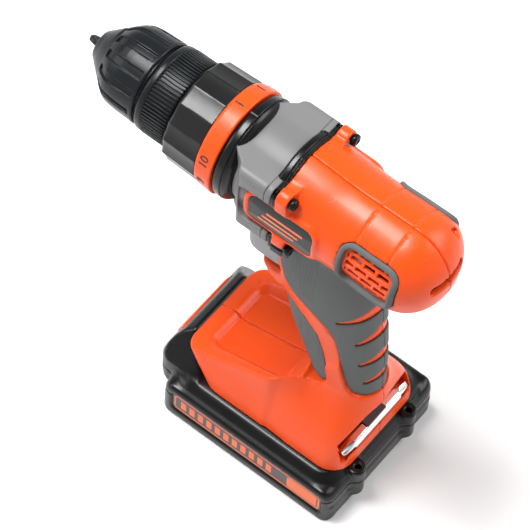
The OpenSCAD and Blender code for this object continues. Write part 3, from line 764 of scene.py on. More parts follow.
@dataclass
class Chuck:
    """Keyless chuck: front sleeve, knurled rear sleeve and the bit it holds.

    Attributes:
        nose_x: Front end of the sleeve.
        sleeve_rear_x: Rear end of the front sleeve.
        knurl_front_x: Front end of the knurled sleeve.
        knurl_rear_x: Rear end of the knurled sleeve.
        flutes: Number of finger grooves.
        first_flute: Angle of one groove in degrees.
        ribs: Number of ribs on the knurled sleeve.
        first_tick: Angle of the first raised mark in degrees.
        ticks: Number of raised marks.
        outside: Outline of the front sleeve as pairs of X and radius.
    """

    nose_x: float = -95.0
    sleeve_rear_x: float = -61.0
    knurl_front_x: float = -59.5
    knurl_rear_x: float = -42.0
    flutes: int = 13
    first_flute: float = 6.1
    ribs: int = 76
    first_tick: float = -26
    ticks: int = 15
    outside: tuple[tuple[float, float], ...] = (
        (-95.0, 7.0), (-94.0, 7.9), (-92.4, 9.2), (-90.2, 11.2), (-87.8, 13.2), (-85.7, 14.9), (-83.6, 16.8),
        (-81.5, 18.5), (-79.6, 19.7), (-77.5, 20.4), (-74.5, 20.9), (-71.5, 21.1), (-65.0, 21.3), (-61.7, 21.4),
        (-61.0, 20.8))

    def front_sleeve(self) -> bpy.types.Object:
        """Tapered sleeve with long finger grooves.

        Returns:
            The object.
        """
        bore = [(self.sleeve_rear_x, 17.6), (-77.0, 17.6), (-83.0, 14.8), (-87.0, 12.0), (-93.0, 7.4)]
        wall = [(self.nose_x, 6.5), *self.outside, *bore]
        stations, radii = zip(*self.outside)

        def shape(x: Array, y: Array, z: Array) -> Array:
            """Field of the piece.

            Args:
                x: X of the points.
                y: Y of the points.
                z: Z of the points.

            Returns:
                Signed distance in millimetres, negative inside.
            """
            r = radius(y, z)
            side = r * np.sin(np.radians(from_nearest(around(y, z), self.flutes, self.first_flute)))
            depth = np.interp(x, stations, radii) - 1.15
            groove = np.maximum(rect_field(x, side, (-84.5, -1.95), (-62.9, 1.95), 0.5), depth - r)
            return soft_max(polygon_field(x, r, wall), -groove, 0.25)

        low, high = (self.nose_x, -22, SPINDLE_Z - 22), (self.sleeve_rear_x, 22, SPINDLE_Z + 22)
        return solid("chuck_front_sleeve_body", shape, low, high, 0.42)

    def raised_marks(self) -> bpy.types.Object:
        """Short raised marks behind the nose.

        Returns:
            The object.
        """
        one = block("tick", (-1.1, -0.16, -0.5), (1.1, 0.16, 0.28), 0.08, 1)
        one.data.transform(Matrix.Rotation(math.radians(-39), 4, "Y"))
        return repeat("ticks", one, Layout.RING, self.ticks, CHUCK_BLACK_PAINTED_REFLECTION, place=(-86.4, 0, SPINDLE_Z),
                      start=self.first_tick, turn=3.6, radius=14.35)

    def rear_sleeve(self) -> bpy.types.Object:
        """Sleeve with fine ribs.

        Returns:
            The object.
        """
        a, b = self.knurl_front_x, self.knurl_rear_x
        wall = [(a, 16.8), (a, 20.9), (a + 0.5, 21.6), (a + 1.3, 22.0), (a + 3.6, 22.0), (a + 4.2, 21.1),
                (b - 0.9, 21.2), (b, 20.9), (b, 14), (b - 0.9, 14), (b - 0.9, 16.45), (a + 3, 16.45)]
        body = turned("knurl_body", wall, (a, b), 23, 0.6)
        dress(body, CHUCK_BLACK_PAINTED_REFLECTION)
        rib = block("rib", (a + 4.0, -0.42, -1.2), (b - 0.5, 0.42, 0.35), 0.2, 2)
        dress(rib, CHUCK_BLACK_PAINTED_REFLECTION)
        ribs = repeat("ribs", rib, Layout.RING, self.ribs, CHUCK_BLACK_PAINTED_REFLECTION, place=(0, 0, SPINDLE_Z),
                      turn=360 / self.ribs, radius=21.85)
        ribs.data.polygons.foreach_set("use_smooth", [True] * len(ribs.data.polygons))
        return joined("chuck_knurled_sleeve", [body, ribs])

    def build(self) -> None:
        """Build the chuck's outer pieces and dress them."""
        sleeve = self.front_sleeve()
        dress(sleeve, CHUCK_BLACK_PAINTED_REFLECTION)
        whole = joined("chuck_fluted_sleeve", [sleeve, self.raised_marks()])
        declare(whole, "chuck_sleeve", "chuck_plastic", "chuck_front_sleeve")
        declare(self.rear_sleeve(), "output", "chuck_plastic", "chuck_rear_sleeve")
        bit = bit_mesh("driver_bit_shaped", -101.4, 25.0, double=False)
        declare(bit, "driver_bit", "screw_steel", "driver_bit", finish=BIT_BLACK)


def bit_mesh(name: str, start: float, length: float, double: bool) -> bpy.types.Object:
    """Screwdriver bit along +X on the spindle axis: cross tip, waist and hexagon shank.

    Args:
        name: Piece name.
        start: X of the tip.
        length: Overall length.
        double: True for a tip on both ends.

    Returns:
        The object.
    """
    hexagon = 6.3 / 2
    nose = [(0.0, 1.1, 0.7), (0.5, 1.8, 0.9), (1.4, 2.15, 0.9), (3.0, 2.5, 0.7), (5.2, 2.8, 0.0),
            (6.8, 2.85, 0.0), (7.6, hexagon * 0.98, 2), (8.0, hexagon, 2)]
    tail = [(length - s, r, k) for s, r, k in reversed(nose)] if double else [
        (length - 0.6, hexagon, 2), (length, hexagon * 0.86, 2)]
    rings, steps = [], 48
    for s, r, kind in nose + tail:
        ring = []
        for i in range(steps):
            a = 2 * math.pi * i / steps
            if kind == 2:
                flat = (a + math.pi / 6) % (math.pi / 3) - math.pi / 6
                rr = min(r / math.cos(flat), r * 1.12)
            else:
                rr = r * (1 - 0.42 * kind * abs(math.sin(2 * a)) ** 1.5)
            ring.append((start + s, -rr * math.sin(a), SPINDLE_Z + rr * math.cos(a)))
        rings.append(ring)
    return stacked(name, rings)


# ---------------------------------------------------------------------------------------------
# Torque collar and gearcase
# ---------------------------------------------------------------------------------------------


@dataclass
class Collar:
    """Torque collar with its numbered band.

    Attributes:
        front_x: Front of the faceted part.
        band_x: Joint between the facets and the band.
        rear_x: Rear of the band.
        facets: Number of flats.
        first_seam: Angle of one seam in degrees.
        number_step: Degrees from one number to the next.
        ten_at: Angle of the highest number.
    """

    front_x: float = -40.5
    band_x: float = -21.5
    rear_x: float = -12.2
    facets: int = 16
    first_seam: float = 10.0
    number_step: float = 28.5
    ten_at: float = 69.0

    def faceted(self) -> bpy.types.Object:
        """Faceted front part of the collar.

        Returns:
            The object.
        """
        half = math.radians(180 / self.facets)

        def shape(x: Array, y: Array, z: Array) -> Array:
            """Field of the piece.

            Args:
                x: X of the points.
                y: Y of the points.
                z: Z of the points.

            Returns:
                Signed distance in millimetres, negative inside.
            """
            r = radius(y, z)
            off = np.radians(from_nearest(around(y, z), self.facets, self.first_seam + 180 / self.facets))
            top = (25.7 + (x - self.front_x) * 0.03) * math.cos(half)
            f = r * np.cos(off) - top + 0.3 * (1 - (off / half) ** 2)
            f = soft_max(f, self.front_x - x, 1.6)
            f = np.maximum(f, x - self.band_x)
            inner = np.where(x < self.front_x + 3, 18.0, 22.6)
            return np.maximum(f, inner - r)

        low, high = (self.front_x, -26.5, SPINDLE_Z - 26.5), (self.band_x, 26.5, SPINDLE_Z + 26.5)
        return solid("torque_collar_facets", shape, low, high, 0.42, 0.003)

    def band(self) -> bpy.types.Object:
        """Smooth orange band.

        Returns:
            The object.
        """
        a, b = self.band_x + 0.05, self.rear_x
        wall = [(a, 22.6), (a, 25.7), (a + 0.3, 26.0), (a + 1.0, 26.35), (b - 0.6, 26.9), (b - 0.15, 26.75),
                (b, 26.3), (b, 22.6)]
        return turned("torque_band_body", wall, (a, b), 27, 0.6)

    def number(self, text: str, angle: float) -> bpy.types.Object:
        """One number, wrapped round the band.

        Args:
            text: The digits.
            angle: Angle of its middle in degrees.

        Returns:
            The object.
        """
        data = bpy.data.curves.new(f"number_{text}", "FONT")
        data.body = text
        data.size = 6.4 * MM
        data.align_x, data.align_y = "CENTER", "CENTER"
        data.extrude = 0.12 * MM
        data.resolution_u = 3
        item = linked(f"number_{text}", data)
        mesh = bpy.data.meshes.new_from_object(item)
        bpy.data.objects.remove(item)
        middle = (self.band_x + self.rear_x) / 2
        for v in mesh.vertices:
            x, y, z = v.co / MM
            a = math.radians(angle) - x / 26.6
            r = 26.72 + z - y * 0.052
            v.co = Vector((middle - y, -r * math.sin(a), SPINDLE_Z + r * math.cos(a))) * MM
        piece = linked(mesh.name, mesh)
        dress(piece, MARK_DARK)
        return piece

    def drill_mark(self) -> bpy.types.Object:
        """Plain arrow that stands for the locked, drilling position.

        Returns:
            The object.
        """
        bars = [((-0.5, -1.6), (0.5, 2.4)), ((-0.5, -2.9), (0.5, -2.0))]
        parts = []
        for k, (low, high) in enumerate(bars):
            bar = block(f"mark_{k}", (low[1] - 16.8, low[0], -0.25), (high[1] - 16.8, high[0], 0.12), 0.05, 1)
            bar.data.transform(Matrix.Translation((0, 0, (SPINDLE_Z + 26.62) * MM)))
            dress(bar, MARK_DARK)
            parts.append(bar)
        return joined("drill_mark", parts)

    def build(self) -> None:
        """Build the collar, its band and the numbers."""
        declare(self.faceted(), "torque_collar", "black_plastic", "torque_collar", finish=COLLAR_BLACK)
        band = self.band()
        dress(band, ORANGE)
        numbers = [self.number(str(n), self.ten_at + (10 - n) * self.number_step) for n in range(1, 11)]
        whole = joined("torque_band_numbered", [band, self.drill_mark()] + numbers)
        declare(whole, "torque_collar", "orange_shell", "torque_band")


@dataclass
class Gearcase:
    """Grey gearcase, its index ring and the black flange behind it.

    Attributes:
        front_x: Front end.
        wing_front: Front edge of the four corners, as distance from the middle and X.
        rear_x: Rear end.
        flange_rear_x: Rear face of the flange.
        half_w: Half width over the corners.
        half_h: Half height over the corners.
        screw: Y and height from the axis of the corner screws.
    """

    front_x: float = -7.05
    wing_front: tuple[tuple[float, float], ...] = (
        (0.0, -7.0), (15.0, -7.0), (17.0, -4.6), (20.0, -0.7), (23.0, 0.9), (25.5, 3.0))
    rear_x: float = 16.45
    flange_rear_x: float = 22.45
    half_w: float = 25.5
    half_h: float = 21.0
    screw: tuple[float, float] = (22.0, 18.7)

    def corners(self, x: Array, y: Array, z: Array, grow: float = 0.0) -> Array:
        """Field of the four-cornered outline.

        Args:
            x: X of the points.
            y: Y of the points.
            z: Z of the points.
            grow: Distance by which the form is grown.

        Returns:
            Signed distance in millimetres, negative inside.
        """
        low = (-self.half_w - grow, -self.half_h - grow)
        high = (self.half_w + grow, self.half_h + grow)
        return rect_field(y, z - SPINDLE_Z, low, high, 4.2)

    def wings(self, x: Array, y: Array, z: Array) -> Array:
        """Field of the four-cornered part with its slanted front."""
        front = curve(np.abs(y), self.wing_front)
        return soft_max(self.corners(x, y, z), (front - x) * 0.8, 1.0)

    def recess(self, x: Array, y: Array, z: Array) -> Array:
        """Field of the space at the sides that holds the nameplate pods."""
        region = rect_field(x, z - SPINDLE_Z, (1.6, -12.0), (60.0, 12.0), 6.0)
        return np.maximum(region, 22.45 - np.minimum(radius(y, z), np.abs(y) + 0.6))

    def case(self) -> bpy.types.Object:
        """Grey casting.

        Returns:
            The object.
        """
        core = [(-3.6, 0), (-3.6, 21.0), (-3.0, 21.9), (-1.2, 22.3), (6.0, 22.5), (self.rear_x, 22.7),
                (self.rear_x, 0)]
        neck = [(-40.0, 0), (-40.0, 16), (-14.8, 16), (-14.8, 22), (-12.2, 22), (-12.2, 20), (-6.0, 20),
                (-6.0, 0)]
        bores = ((-10.0, 30.0, 19.65), (-36.2, -9.0, 9.3), (-45.0, -27.9, 14.0))

        def shape(x: Array, y: Array, z: Array) -> Array:
            """Field of the piece.

            Args:
                x: X of the points.
                y: Y of the points.
                z: Z of the points.

            Returns:
                Signed distance in millimetres, negative inside.
            """
            r = radius(y, z)
            wings = np.maximum(self.wings(x, y, z), x - self.rear_x)
            f = soft_min(polygon_field(x, r, core), wings, 1.2)
            f = soft_max(f, -self.recess(x, y, z), 0.8)
            f = np.minimum(f, polygon_field(x, r, neck))
            for a, b, bore in bores:
                f = np.maximum(f, -np.maximum(r - bore, np.maximum(a - x, x - b)))
            hole = from_screws(y, z, self.screw) - 1.55
            return np.maximum(f, -np.maximum(hole, 8.5 - x))

        return solid("gearcase_casting", shape, (-40, -26, SPINDLE_Z - 26), (17, 26, SPINDLE_Z + 26), 0.58)

    def dome(self) -> bpy.types.Object:
        """Black dome over the front of the casting, between the ring and the corners.

        Returns:
            The object.
        """
        wall = [(self.front_x, 20.1), (self.front_x, 26.0), (-6.2, 25.7), (-5.1, 24.9), (-4.2, 23.8),
                (-3.6, 22.6), (-3.3, 21.4), (-3.3, 20.1)]

        def shape(x: Array, y: Array, z: Array) -> Array:
            """Field of the piece."""
            f = soft_max(polygon_field(x, radius(y, z), wall), -self.recess(x, y, z), 0.6)
            return np.maximum(f, 0.05 - self.wings(x, y, z))

        return solid("gearcase_dome", shape, (-7.1, -27, SPINDLE_Z - 27), (-3.2, 27, SPINDLE_Z + 27), 0.45)

    def flange(self) -> bpy.types.Object:
        """Black flange with its raised half-moon, two grooves and the grey ends of the corners.

        Returns:
            The object.
        """
        low, high = (16.4, -27, SPINDLE_Z - 27), (22.5, 27, SPINDLE_Z + 27)

        def shape(x: Array, y: Array, z: Array, grey: bool) -> Array:
            """Field of the piece.

            Args:
                x: X of the points.
                y: Y of the points.
                z: Z of the points.
                grey: Whether it is the grey part.

            Returns:
                Signed distance in millimetres, negative inside.
            """
            r = radius(y, z)
            front = self.rear_x + 0.06
            corner = self.corners(x, y, z, 0.0 if grey else -0.15)
            moon = soft_max(r - 26.1 + np.maximum(0, 17.6 - x) * 0.8, front - x, 0.6)
            if grey:
                f = np.maximum(corner, np.maximum(front - x, x - 19.7))
                f = np.maximum(f, -moon)
            else:
                f = np.minimum(moon, np.maximum(corner, 19.75 - x))
                f = soft_max(f, x - self.flange_rear_x, 0.4)
                outline = np.minimum(corner, r - 26.1)
                for groove_x in (20.35, 21.6):
                    f = np.maximum(f, -np.maximum(np.abs(x - groove_x) - 0.26, -outline - 0.6))
            f = soft_max(f, -self.recess(x, y, z), 0.6)
            f = np.maximum(f, 19.65 - r)
            hole = from_screws(y, z, self.screw) - 1.65
            return np.maximum(f, -hole)

        black = solid("flange_black", lambda x, y, z: shape(x, y, z, False), low, high, 0.42)
        dress(black, GLOSS_BLACK)
        grey = solid("flange_grey", lambda x, y, z: shape(x, y, z, True), low, (19.8, high[1], high[2]), 0.5)
        dress(grey, GEARCASE_GREY)
        return joined("gearcase_flange", [black, grey])

    def ring(self) -> bpy.types.Object:
        """Black ring with the index mark.

        Returns:
            The object.
        """
        wall = [(-11.95, 20.1), (-11.95, 24.9), (-11.3, 25.7), (-10.2, 26.0), (-7.12, 26.1), (-7.12, 20.1)]
        ring = turned("index_ring_body", wall, (-12, -7), 26, 0.5)
        dress(ring, GLOSS_BLACK)
        mark = block("index_mark", (-11.2, -0.3, SPINDLE_Z + 25.2), (-7.3, 0.3, SPINDLE_Z + 26.25), 0.1)
        dress(mark, MARK_GREY)
        return joined("index_ring_marked", [ring, mark])

    def build(self) -> None:
        """Build the gearcase pieces."""
        case, dome = self.case(), self.dome()
        dress(case, GEARCASE_GREY)
        dress(dome, GLOSS_BLACK)
        declare(joined("gearcase_domed", [case, dome]), "housing", "grey_gearcase", "gearcase")
        declare(self.flange(), "housing", "black_plastic", "gearcase_gasket")
        declare(self.ring(), "housing", "black_plastic", "index_ring")


# ---------------------------------------------------------------------------------------------
# Housing, grips and what sits in the housing's sides
# ---------------------------------------------------------------------------------------------


class Grip(Enum):
    """The two rubber parts on each side of the grip."""

    REAR = "rear"
    FRONT = "front"


@dataclass
class Housing:
    """Two orange housing halves, the rubber grips, vents, nameplates, screws and trigger.

    Attributes:
        joint_x: Front end of the barrel.
        dome_x: Where the barrel's round rear end begins.
        rear_x: Rear end.
        pod: Low and high corner of the nameplate frame in X and height from the axis.
        plate: Low and high corner of the nameplate.
        vent: Low and high corner of the vent ring's outside.
        side_r: Radius of the barrel's side, for heights measured along it.
        skin: Thickness of the rubber.
        screw: Y and height from the axis of the corner screws.
        case_screws: X, Z and seat Y of the screws that join the halves.
        rear_rubber: Outline of the rear rubber in X and Z.
        front_rubber: Outline of the front insert in X and Z.
        crescents: Ends of the gaps in the rear rubber in X and Z.
        grip_reach: Greatest Y of the rear rubber and of the front insert.
    """

    joint_x: float = 22.5
    dome_x: float = 80.0
    rear_x: float = 100.9
    pod: tuple[tuple[float, float], tuple[float, float]] = ((5.7, -11.4), (45.8, 11.4))
    plate: tuple[tuple[float, float], tuple[float, float]] = ((8.5, -8.6), (43.6, 9.8))
    vent: tuple[tuple[float, float], tuple[float, float]] = ((56.0, -9.2), (87.0, 17.0))
    side_r: float = 24.5
    skin: float = 1.2
    screw: tuple[float, float] = (22.0, 18.7)
    case_screws: tuple[tuple[float, float, float], ...] = (
        (33, 106, 8), (62, 82, 8), (50, 160, 8.8), (52, 48.6, 18))
    rear_rubber: tuple[tuple[float, float], ...] = (
        (17.6, 176), (17.0, 160), (17.8, 150), (20.5, 138.5), (24.5, 132.0), (30, 129.0), (37, 127.5), (45, 123.5),
        (51.5, 118), (55.5, 110.5), (58, 98), (60.5, 86), (63.3, 76), (66.5, 71), (71, 69.2), (90, 72), (90, 176))
    front_rubber: tuple[tuple[float, float], ...] = (
        (8, 116.5), (25.5, 117.5), (31, 118.5), (38, 116), (46.0, 108), (50.0, 95), (53.4, 78), (54, 72.5),
        (51, 68.0), (44, 66.0), (36, 70), (28, 74), (8, 74))
    crescents: tuple[tuple[tuple[float, float], tuple[float, float]], ...] = (
        ((55.6, 126.5), (69.5, 139.5)), ((65.0, 112.0), (73.5, 127.0)), ((67.5, 94.5), (76.5, 108.0)),
        ((70.5, 79.5), (78.5, 92.0)))
    grip_reach: tuple[float, float] = (24.5, 18.5)

    def barrel(self, x: Array, y: Array, z: Array, inset: float = 0.0) -> Array:
        """Field of the barrel, inset all round by a distance.

        Args:
            x: X of the points.
            y: Y of the points.
            z: Z of the points.
            inset: Distance by which the form is inset.

        Returns:
            Signed distance in millimetres, negative inside.
        """
        height = z - SPINDLE_Z
        t = np.clip((x - self.dome_x) / (self.rear_x - self.dome_x - inset), 0, 1.7)
        height = height + 2.0 * t ** 2.2
        side = curve(x, [(22, 25.6), (30, 25.2), (38, 24.9), (50, 24.4), (60, 24.3), (72, 24.8), (82, 24.9),
                         (102, 24.9)])
        top = curve(x, [(22, 25.3), (30, 24.7), (37, 24.0), (45, 23.1), (60, 22.9), (78, 22.8), (102, 22.8)])
        half = np.where(height > 0, top, 24.2) - inset
        return (np.sqrt((y / (side - inset)) ** 2 + (height / half) ** 2 + t ** 2.2) - 1) * (23.5 - inset)

    def grip(self, x: Array, y: Array, z: Array, grow: float = 0.0) -> Array:
        """Field of the grip, grown outwards by a distance.

        Args:
            x: X of the points.
            y: Y of the points.
            z: Z of the points.
            grow: Distance by which the form is grown.

        Returns:
            Signed distance in millimetres, negative inside.
        """
        front = curve(z, [(30, 50.0), (50, 44.0), (65, 38.0), (98, 22.6), (120, 17.6), (132, 13.4), (145, 12.4),
                          (176, 14.5), (190, 16)])
        rear = curve(z, [(30, 77), (50, 76), (65, 75.2), (98, 73.6), (120, 71.0), (145, 67.6), (165, 63.5), (190, 60)])
        wide = curve(z, [(30, 13.5), (50, 13.5), (65, 13.3), (98, 14.4), (120, 16.0), (145, 16.5), (165, 15.2),
                         (190, 13)])
        a = (rear - front) / 2 + grow
        b = wide + grow
        u, v = (x - (front + rear) / 2) / a, y / b
        rho = np.sqrt(u * u + v * v) + 1e-6
        slope = np.sqrt((u / a) ** 2 + (v / b) ** 2) / rho + 1e-6
        f = (rho - 1) / slope
        return np.maximum(f, np.maximum(44 - z, z - 186))

    def body(self, x: Array, y: Array, z: Array) -> Array:
        """Barrel and grip run together, without the rubber's recess."""
        barrel = soft_max(self.barrel(x, y, z), self.joint_x - x, 0.4)
        return soft_min(barrel, self.grip(x, y, z, 0.45), 7.0)

    def foot(self, x: Array, y: Array, z: Array) -> Array:
        """Field of the foot: leaning walls, a rim that rises to the grip and a dished top.

        Args:
            x: X of the points.
            y: Y of the points.
            z: Z of the points.

        Returns:
            Signed distance in millimetres, negative inside.
        """
        front = curve(z, [(28, -5.2), (36, -12.2), (43, -18.9), (70, -19)])
        rear = curve(z, [(28, 77.9), (44, 77.3), (52, 76.6), (60, 75.2), (70, 73)])
        wall = curve(z, [(28, 33.0), (36, 31.6), (44, 29.6), (62, 27.4), (72, 26)])
        saddle = curve(z, [(28, 33.0), (36, 31.5), (44, 29.0), (50, 26.2), (56, 22.6), (62, 18.5), (70, 13)])
        step = np.clip((x - 32.2) / 2.2, 0, 1)
        back = np.clip((x - 30) / 16, 0, 1)
        half = wall * (1 - back) + saddle * back - 0.9 * step * (1 - back)
        r = 10.0 + 2.0 * np.clip((x - 20) / 20, 0, 1)
        du = np.abs(x - (front + rear) / 2) - (rear - front) / 2 + r
        dv = np.abs(y) - half + r
        plan = np.hypot(np.maximum(du, 0), np.maximum(dv, 0)) + np.minimum(np.maximum(du, dv), 0) - r
        rim = 43.8 + np.maximum(0, x + 18.6) * 0.365 + np.maximum(0, x - 33) * 0.9
        inner = rect_field(x, y, (-10.0, -21.8), (80.0, 21.8), 6.0)
        depth = 4.2 + np.clip((x + 8) / 30, 0, 1) * 3.0
        dish = depth * np.clip(-inner / 5.0 + 0.35, 0, 1) ** 1.4
        scoop = np.clip((np.abs(y) - 17.0) / 9.0, 0, 1) * 1.6 * np.clip((x + 8) / 20, 0, 1)
        top = z - (rim - dish + scoop)
        f = soft_max(plan, top * 0.93, 1.6)
        return soft_max(f, 28.3 - z, 0.7)

    def neck(self, x: Array, y: Array, z: Array) -> Array:
        """Field of the nose below the trigger.

        Args:
            x: X of the points.
            y: Y of the points.
            z: Z of the points.

        Returns:
            Signed distance in millimetres, negative inside.
        """
        outline = polygon_field(x, z, [(7.4, 126.4), (8.4, 123.6), (11.6, 120.2), (18, 116.5), (40, 108),
                                       (40, 126.4)])
        return soft_max(outline, np.abs(y) - 10.5 + np.maximum(0, 14 - x) * 0.25, 2.5)

    def pod_surface(self, y: Array, z: Array) -> Array:
        """Field of the curved side face that carries the nameplate."""
        return np.hypot(y, (z - SPINDLE_Z) * 0.8) - 25.5

    def pod_field(self, x: Array, y: Array, z: Array) -> Array:
        """Field of the nameplate pods on both sides.

        Args:
            x: X of the points.
            y: Y of the points.
            z: Z of the points.

        Returns:
            Signed distance in millimetres, negative inside.
        """
        region = rect_field(x, z - SPINDLE_Z, self.pod[0], self.pod[1], 6.2)
        f = soft_max(region, self.pod_surface(y, z), 1.6)
        f = np.maximum(f, np.where(x < self.joint_x + 0.05, 22.62 - radius(y, z), 18.0 - np.abs(y)))
        return np.maximum(f, 15.0 - np.abs(y))

    def lobes(self, x: Array, y: Array, z: Array) -> Array:
        """Field of the four lobes that take the gearcase screws.

        Args:
            x: X of the points.
            y: Y of the points.
            z: Z of the points.

        Returns:
            Signed distance in millimetres, negative inside.
        """
        out = np.hypot(np.abs(y) - self.screw[0] + 0.9, np.abs(z - SPINDLE_Z) - self.screw[1] + 0.9)
        lobe = out - 4.6
        corner = rect_field(y, z - SPINDLE_Z, (-25.5, -21.0), (25.5, 21.0), 4.2)
        lobe = np.minimum(lobe, soft_max(corner, out - 9.0, 3.0))
        return soft_max(soft_max(lobe, self.joint_x - x, 0.4), x - 28.5, 0.9)

    def outside(self, x: Array, y: Array, z: Array) -> Array:
        """Field of the housing's whole outer form.

        Args:
            x: X of the points.
            y: Y of the points.
            z: Z of the points.

        Returns:
            Signed distance in millimetres, negative inside.
        """
        f = soft_min(self.body(x, y, z), self.foot(x, y, z), 7.5)
        f = soft_min(f, self.lobes(x, y, z), 1.3)
        f = soft_min(f, self.pod_field(x, y, z), 1.6)
        return soft_min(f, self.neck(x, y, z), 2.0)

    def in_rear_rubber(self, x: Array, y: Array, z: Array, gaps: bool = True) -> Array:
        """Region of the rear rubber, negative inside; gaps leaves the crescents out.

        Args:
            x: X of the points.
            y: Y of the points.
            z: Z of the points.
            gaps: Whether the crescents are left out.

        Returns:
            Signed distance in millimetres, negative inside.
        """
        f = polygon_field(x, z, self.rear_rubber)
        upper = SPINDLE_Z - 15.2 - np.clip((x - 44) / 20, 0, 1) * 9.5
        f = soft_max(f, z - upper, 3.0)
        vent = rect_field(x, self.along(y, z), self.vent[0], self.vent[1], 7.0)
        f = np.maximum(f, 2.2 - vent)
        f = np.maximum(f, 1.2 - rect_field(x, z - SPINDLE_Z, self.pod[0], self.pod[1], 6.2))
        for (x0, z0), (x1, z1) in self.crescents if gaps else ():
            ux, uz = x1 - x0, z1 - z0
            length = math.hypot(ux, uz)
            ux, uz = ux / length, uz / length
            s = (x - x0) * ux + (z - z0) * uz
            bow = 1.4 * np.sin(np.clip(s / length, 0, 1) * math.pi)
            off = (x - x0) * uz - (z - z0) * ux - bow
            width = 0.55 + 1.75 * np.clip(s / length, 0, 1)
            f = np.maximum(f, width - np.hypot(off, s - np.clip(s, 0, length)))
        return f

    def in_front_rubber(self, x: Array, y: Array, z: Array) -> Array:
        """Region of the front grip insert, negative inside."""
        return polygon_field(x, z, self.front_rubber)

    def cavities(self, x: Array, y: Array, z: Array) -> Array:
        """Field of everything hollow in the housing.

        Args:
            x: X of the points.
            y: Y of the points.
            z: Z of the points.

        Returns:
            Signed distance in millimetres, negative inside.
        """
        inner = self.barrel(x, y, z, 3.0)
        grip = np.maximum(soft_max(self.grip(x, y, z, -3.2), z - 180, 0.5), np.where(z < 57, x - 66, -9))
        inner = np.minimum(inner, grip)
        opening = np.maximum(np.abs(y) - 26.5, np.maximum(37.2 - z, 70.4 + (z - 42) * 0.34 - x))
        opening = soft_max(opening, z - 60.0, 3.0)
        inner = np.minimum(inner, opening)
        r = radius(y, z)
        inner = np.minimum(inner, np.maximum(r - 21.4, np.maximum(20 - x, x - 34)))
        boxes = [((-30, -24.5, 20), (60.5, 24.5, 39.5)), ((59.5, -20, 20), (68, 20, 39.0)),
                 ((26, -18, 42.2), (66, 18, 47.5)), ((-20, -8.9, 126.5), (28, 8.9, 158.1)),
                 ((68.9, -27, 33.6), (76.6, 27, 42.4)), ((16.6, -30, 160), (28.6, 30, 165.2))]
        for low, high in boxes:
            inner = np.minimum(inner, box_field(x, y, z, low, high, 0.5))
        for px, pz, seat in self.case_screws:
            boss = np.maximum(np.hypot(x - px, z - pz) - 3.8, np.maximum(-13 - y, y - seat - 0.5))
            inner = np.maximum(inner, -boss)
        return inner

    def grooves(self, x: Array, y: Array, z: Array, f: Array) -> Array:
        """Field with the moulded seam lines and the rear slot cut in.

        Args:
            x: X of the points.
            y: Y of the points.
            z: Z of the points.
            f: Field that is cut.

        Returns:
            The field with the lines and the slot cut in.
        """
        height = z - SPINDLE_Z
        upper = np.maximum(-height + np.abs(y) * 0.9 - 2.0, 0)
        for groove_x in (61.0, 78.4):
            line = np.maximum(np.abs(x - groove_x) - 0.38, -f - 0.55)
            f = np.maximum(f, -np.maximum(line, upper - 0.1))
        seam = np.maximum(np.maximum(np.abs(y) - 0.3, -f - 0.45), -height)
        f = np.maximum(f, -seam)
        slot = box_field(x, y, height, (92.0, -11.5, 1.2), (110, 11.5, 5.6), 1.6)
        notch = box_field(x, y, height, (88.6, 13.0, 11.5), (93.0, 17.0, 30.0), 0.6)
        return soft_max(soft_max(f, -slot, 0.7), -notch, 0.3)

    def shell(self, x: Array, y: Array, z: Array) -> Array:
        """Field of both housing halves together.

        Args:
            x: X of the points.
            y: Y of the points.
            z: Z of the points.

        Returns:
            Signed distance in millimetres, negative inside.
        """
        body = self.body(x, y, z)
        f = self.outside(x, y, z)
        f = self.grooves(x, y, z, f)
        f = soft_max(f, -np.maximum(self.in_rear_rubber(x, y, z, False) + 1.0, -(body + 0.75)), 0.2)
        for region in (self.in_rear_rubber(x, y, z), self.in_front_rubber(x, y, z)):
            recess = np.maximum(region, -(body + self.skin))
            f = soft_max(f, -recess, 0.2)
        plate = rect_field(x, z - SPINDLE_Z, self.plate[0], self.plate[1], 4.6)
        f = soft_max(f, -np.maximum(plate, 24.1 - np.hypot(y, (z - SPINDLE_Z) * 0.8)), 0.3)
        window = rect_field(x, self.along(y, z), (self.vent[0][0] + 2.3, self.vent[0][1] + 2.3),
                            (self.vent[1][0] - 2.3, self.vent[1][1] - 2.3), 5.0)
        f = np.maximum(f, -np.maximum(window, 12 - np.abs(y)))
        ring = rect_field(x, self.along(y, z), self.vent[0], self.vent[1], 7.0)
        f = np.maximum(f, -np.maximum(ring - 0.15, -(self.barrel(x, y, z) + 1.5)))
        f = np.maximum(f, -self.cavities(x, y, z))
        hole = from_screws(y, z, self.screw)
        f = np.maximum(f, -np.maximum(hole - 1.65, x - 32))
        f = soft_max(f, -np.maximum(hole - 3.45, 28.4 - x), 0.3)
        for px, pz, seat in self.case_screws:
            axis = np.hypot(x - px, z - pz)
            f = np.maximum(f, -np.maximum(axis - 1.6, np.maximum(-9 - y, y - 40)))
            f = soft_max(f, -np.maximum(axis - 3.1, seat - y), 0.3)
        return f

    def half(self, side: Side) -> bpy.types.Object:
        """One housing half.

        Args:
            side: Side of the drill.

        Returns:
            The object.
        """

        def shape(x: Array, y: Array, z: Array) -> Array:
            """Field of the piece."""
            return soft_max(self.shell(x, y, z), 0.05 - side.value * y, 0.1)

        y0, y1 = side.span(0.0, 34.0)
        return solid(f"housing_shell_{side.label}", shape, (-19.5, y0, 28), (self.rear_x, y1, 217.5), 0.62, 0.03)

    def rubber(self, side: Side, grip: Grip) -> bpy.types.Object:
        """One rubber part of the grip.

        Args:
            side: Side of the drill.
            grip: Which rubber part.

        Returns:
            The object.
        """
        rear = grip is Grip.REAR

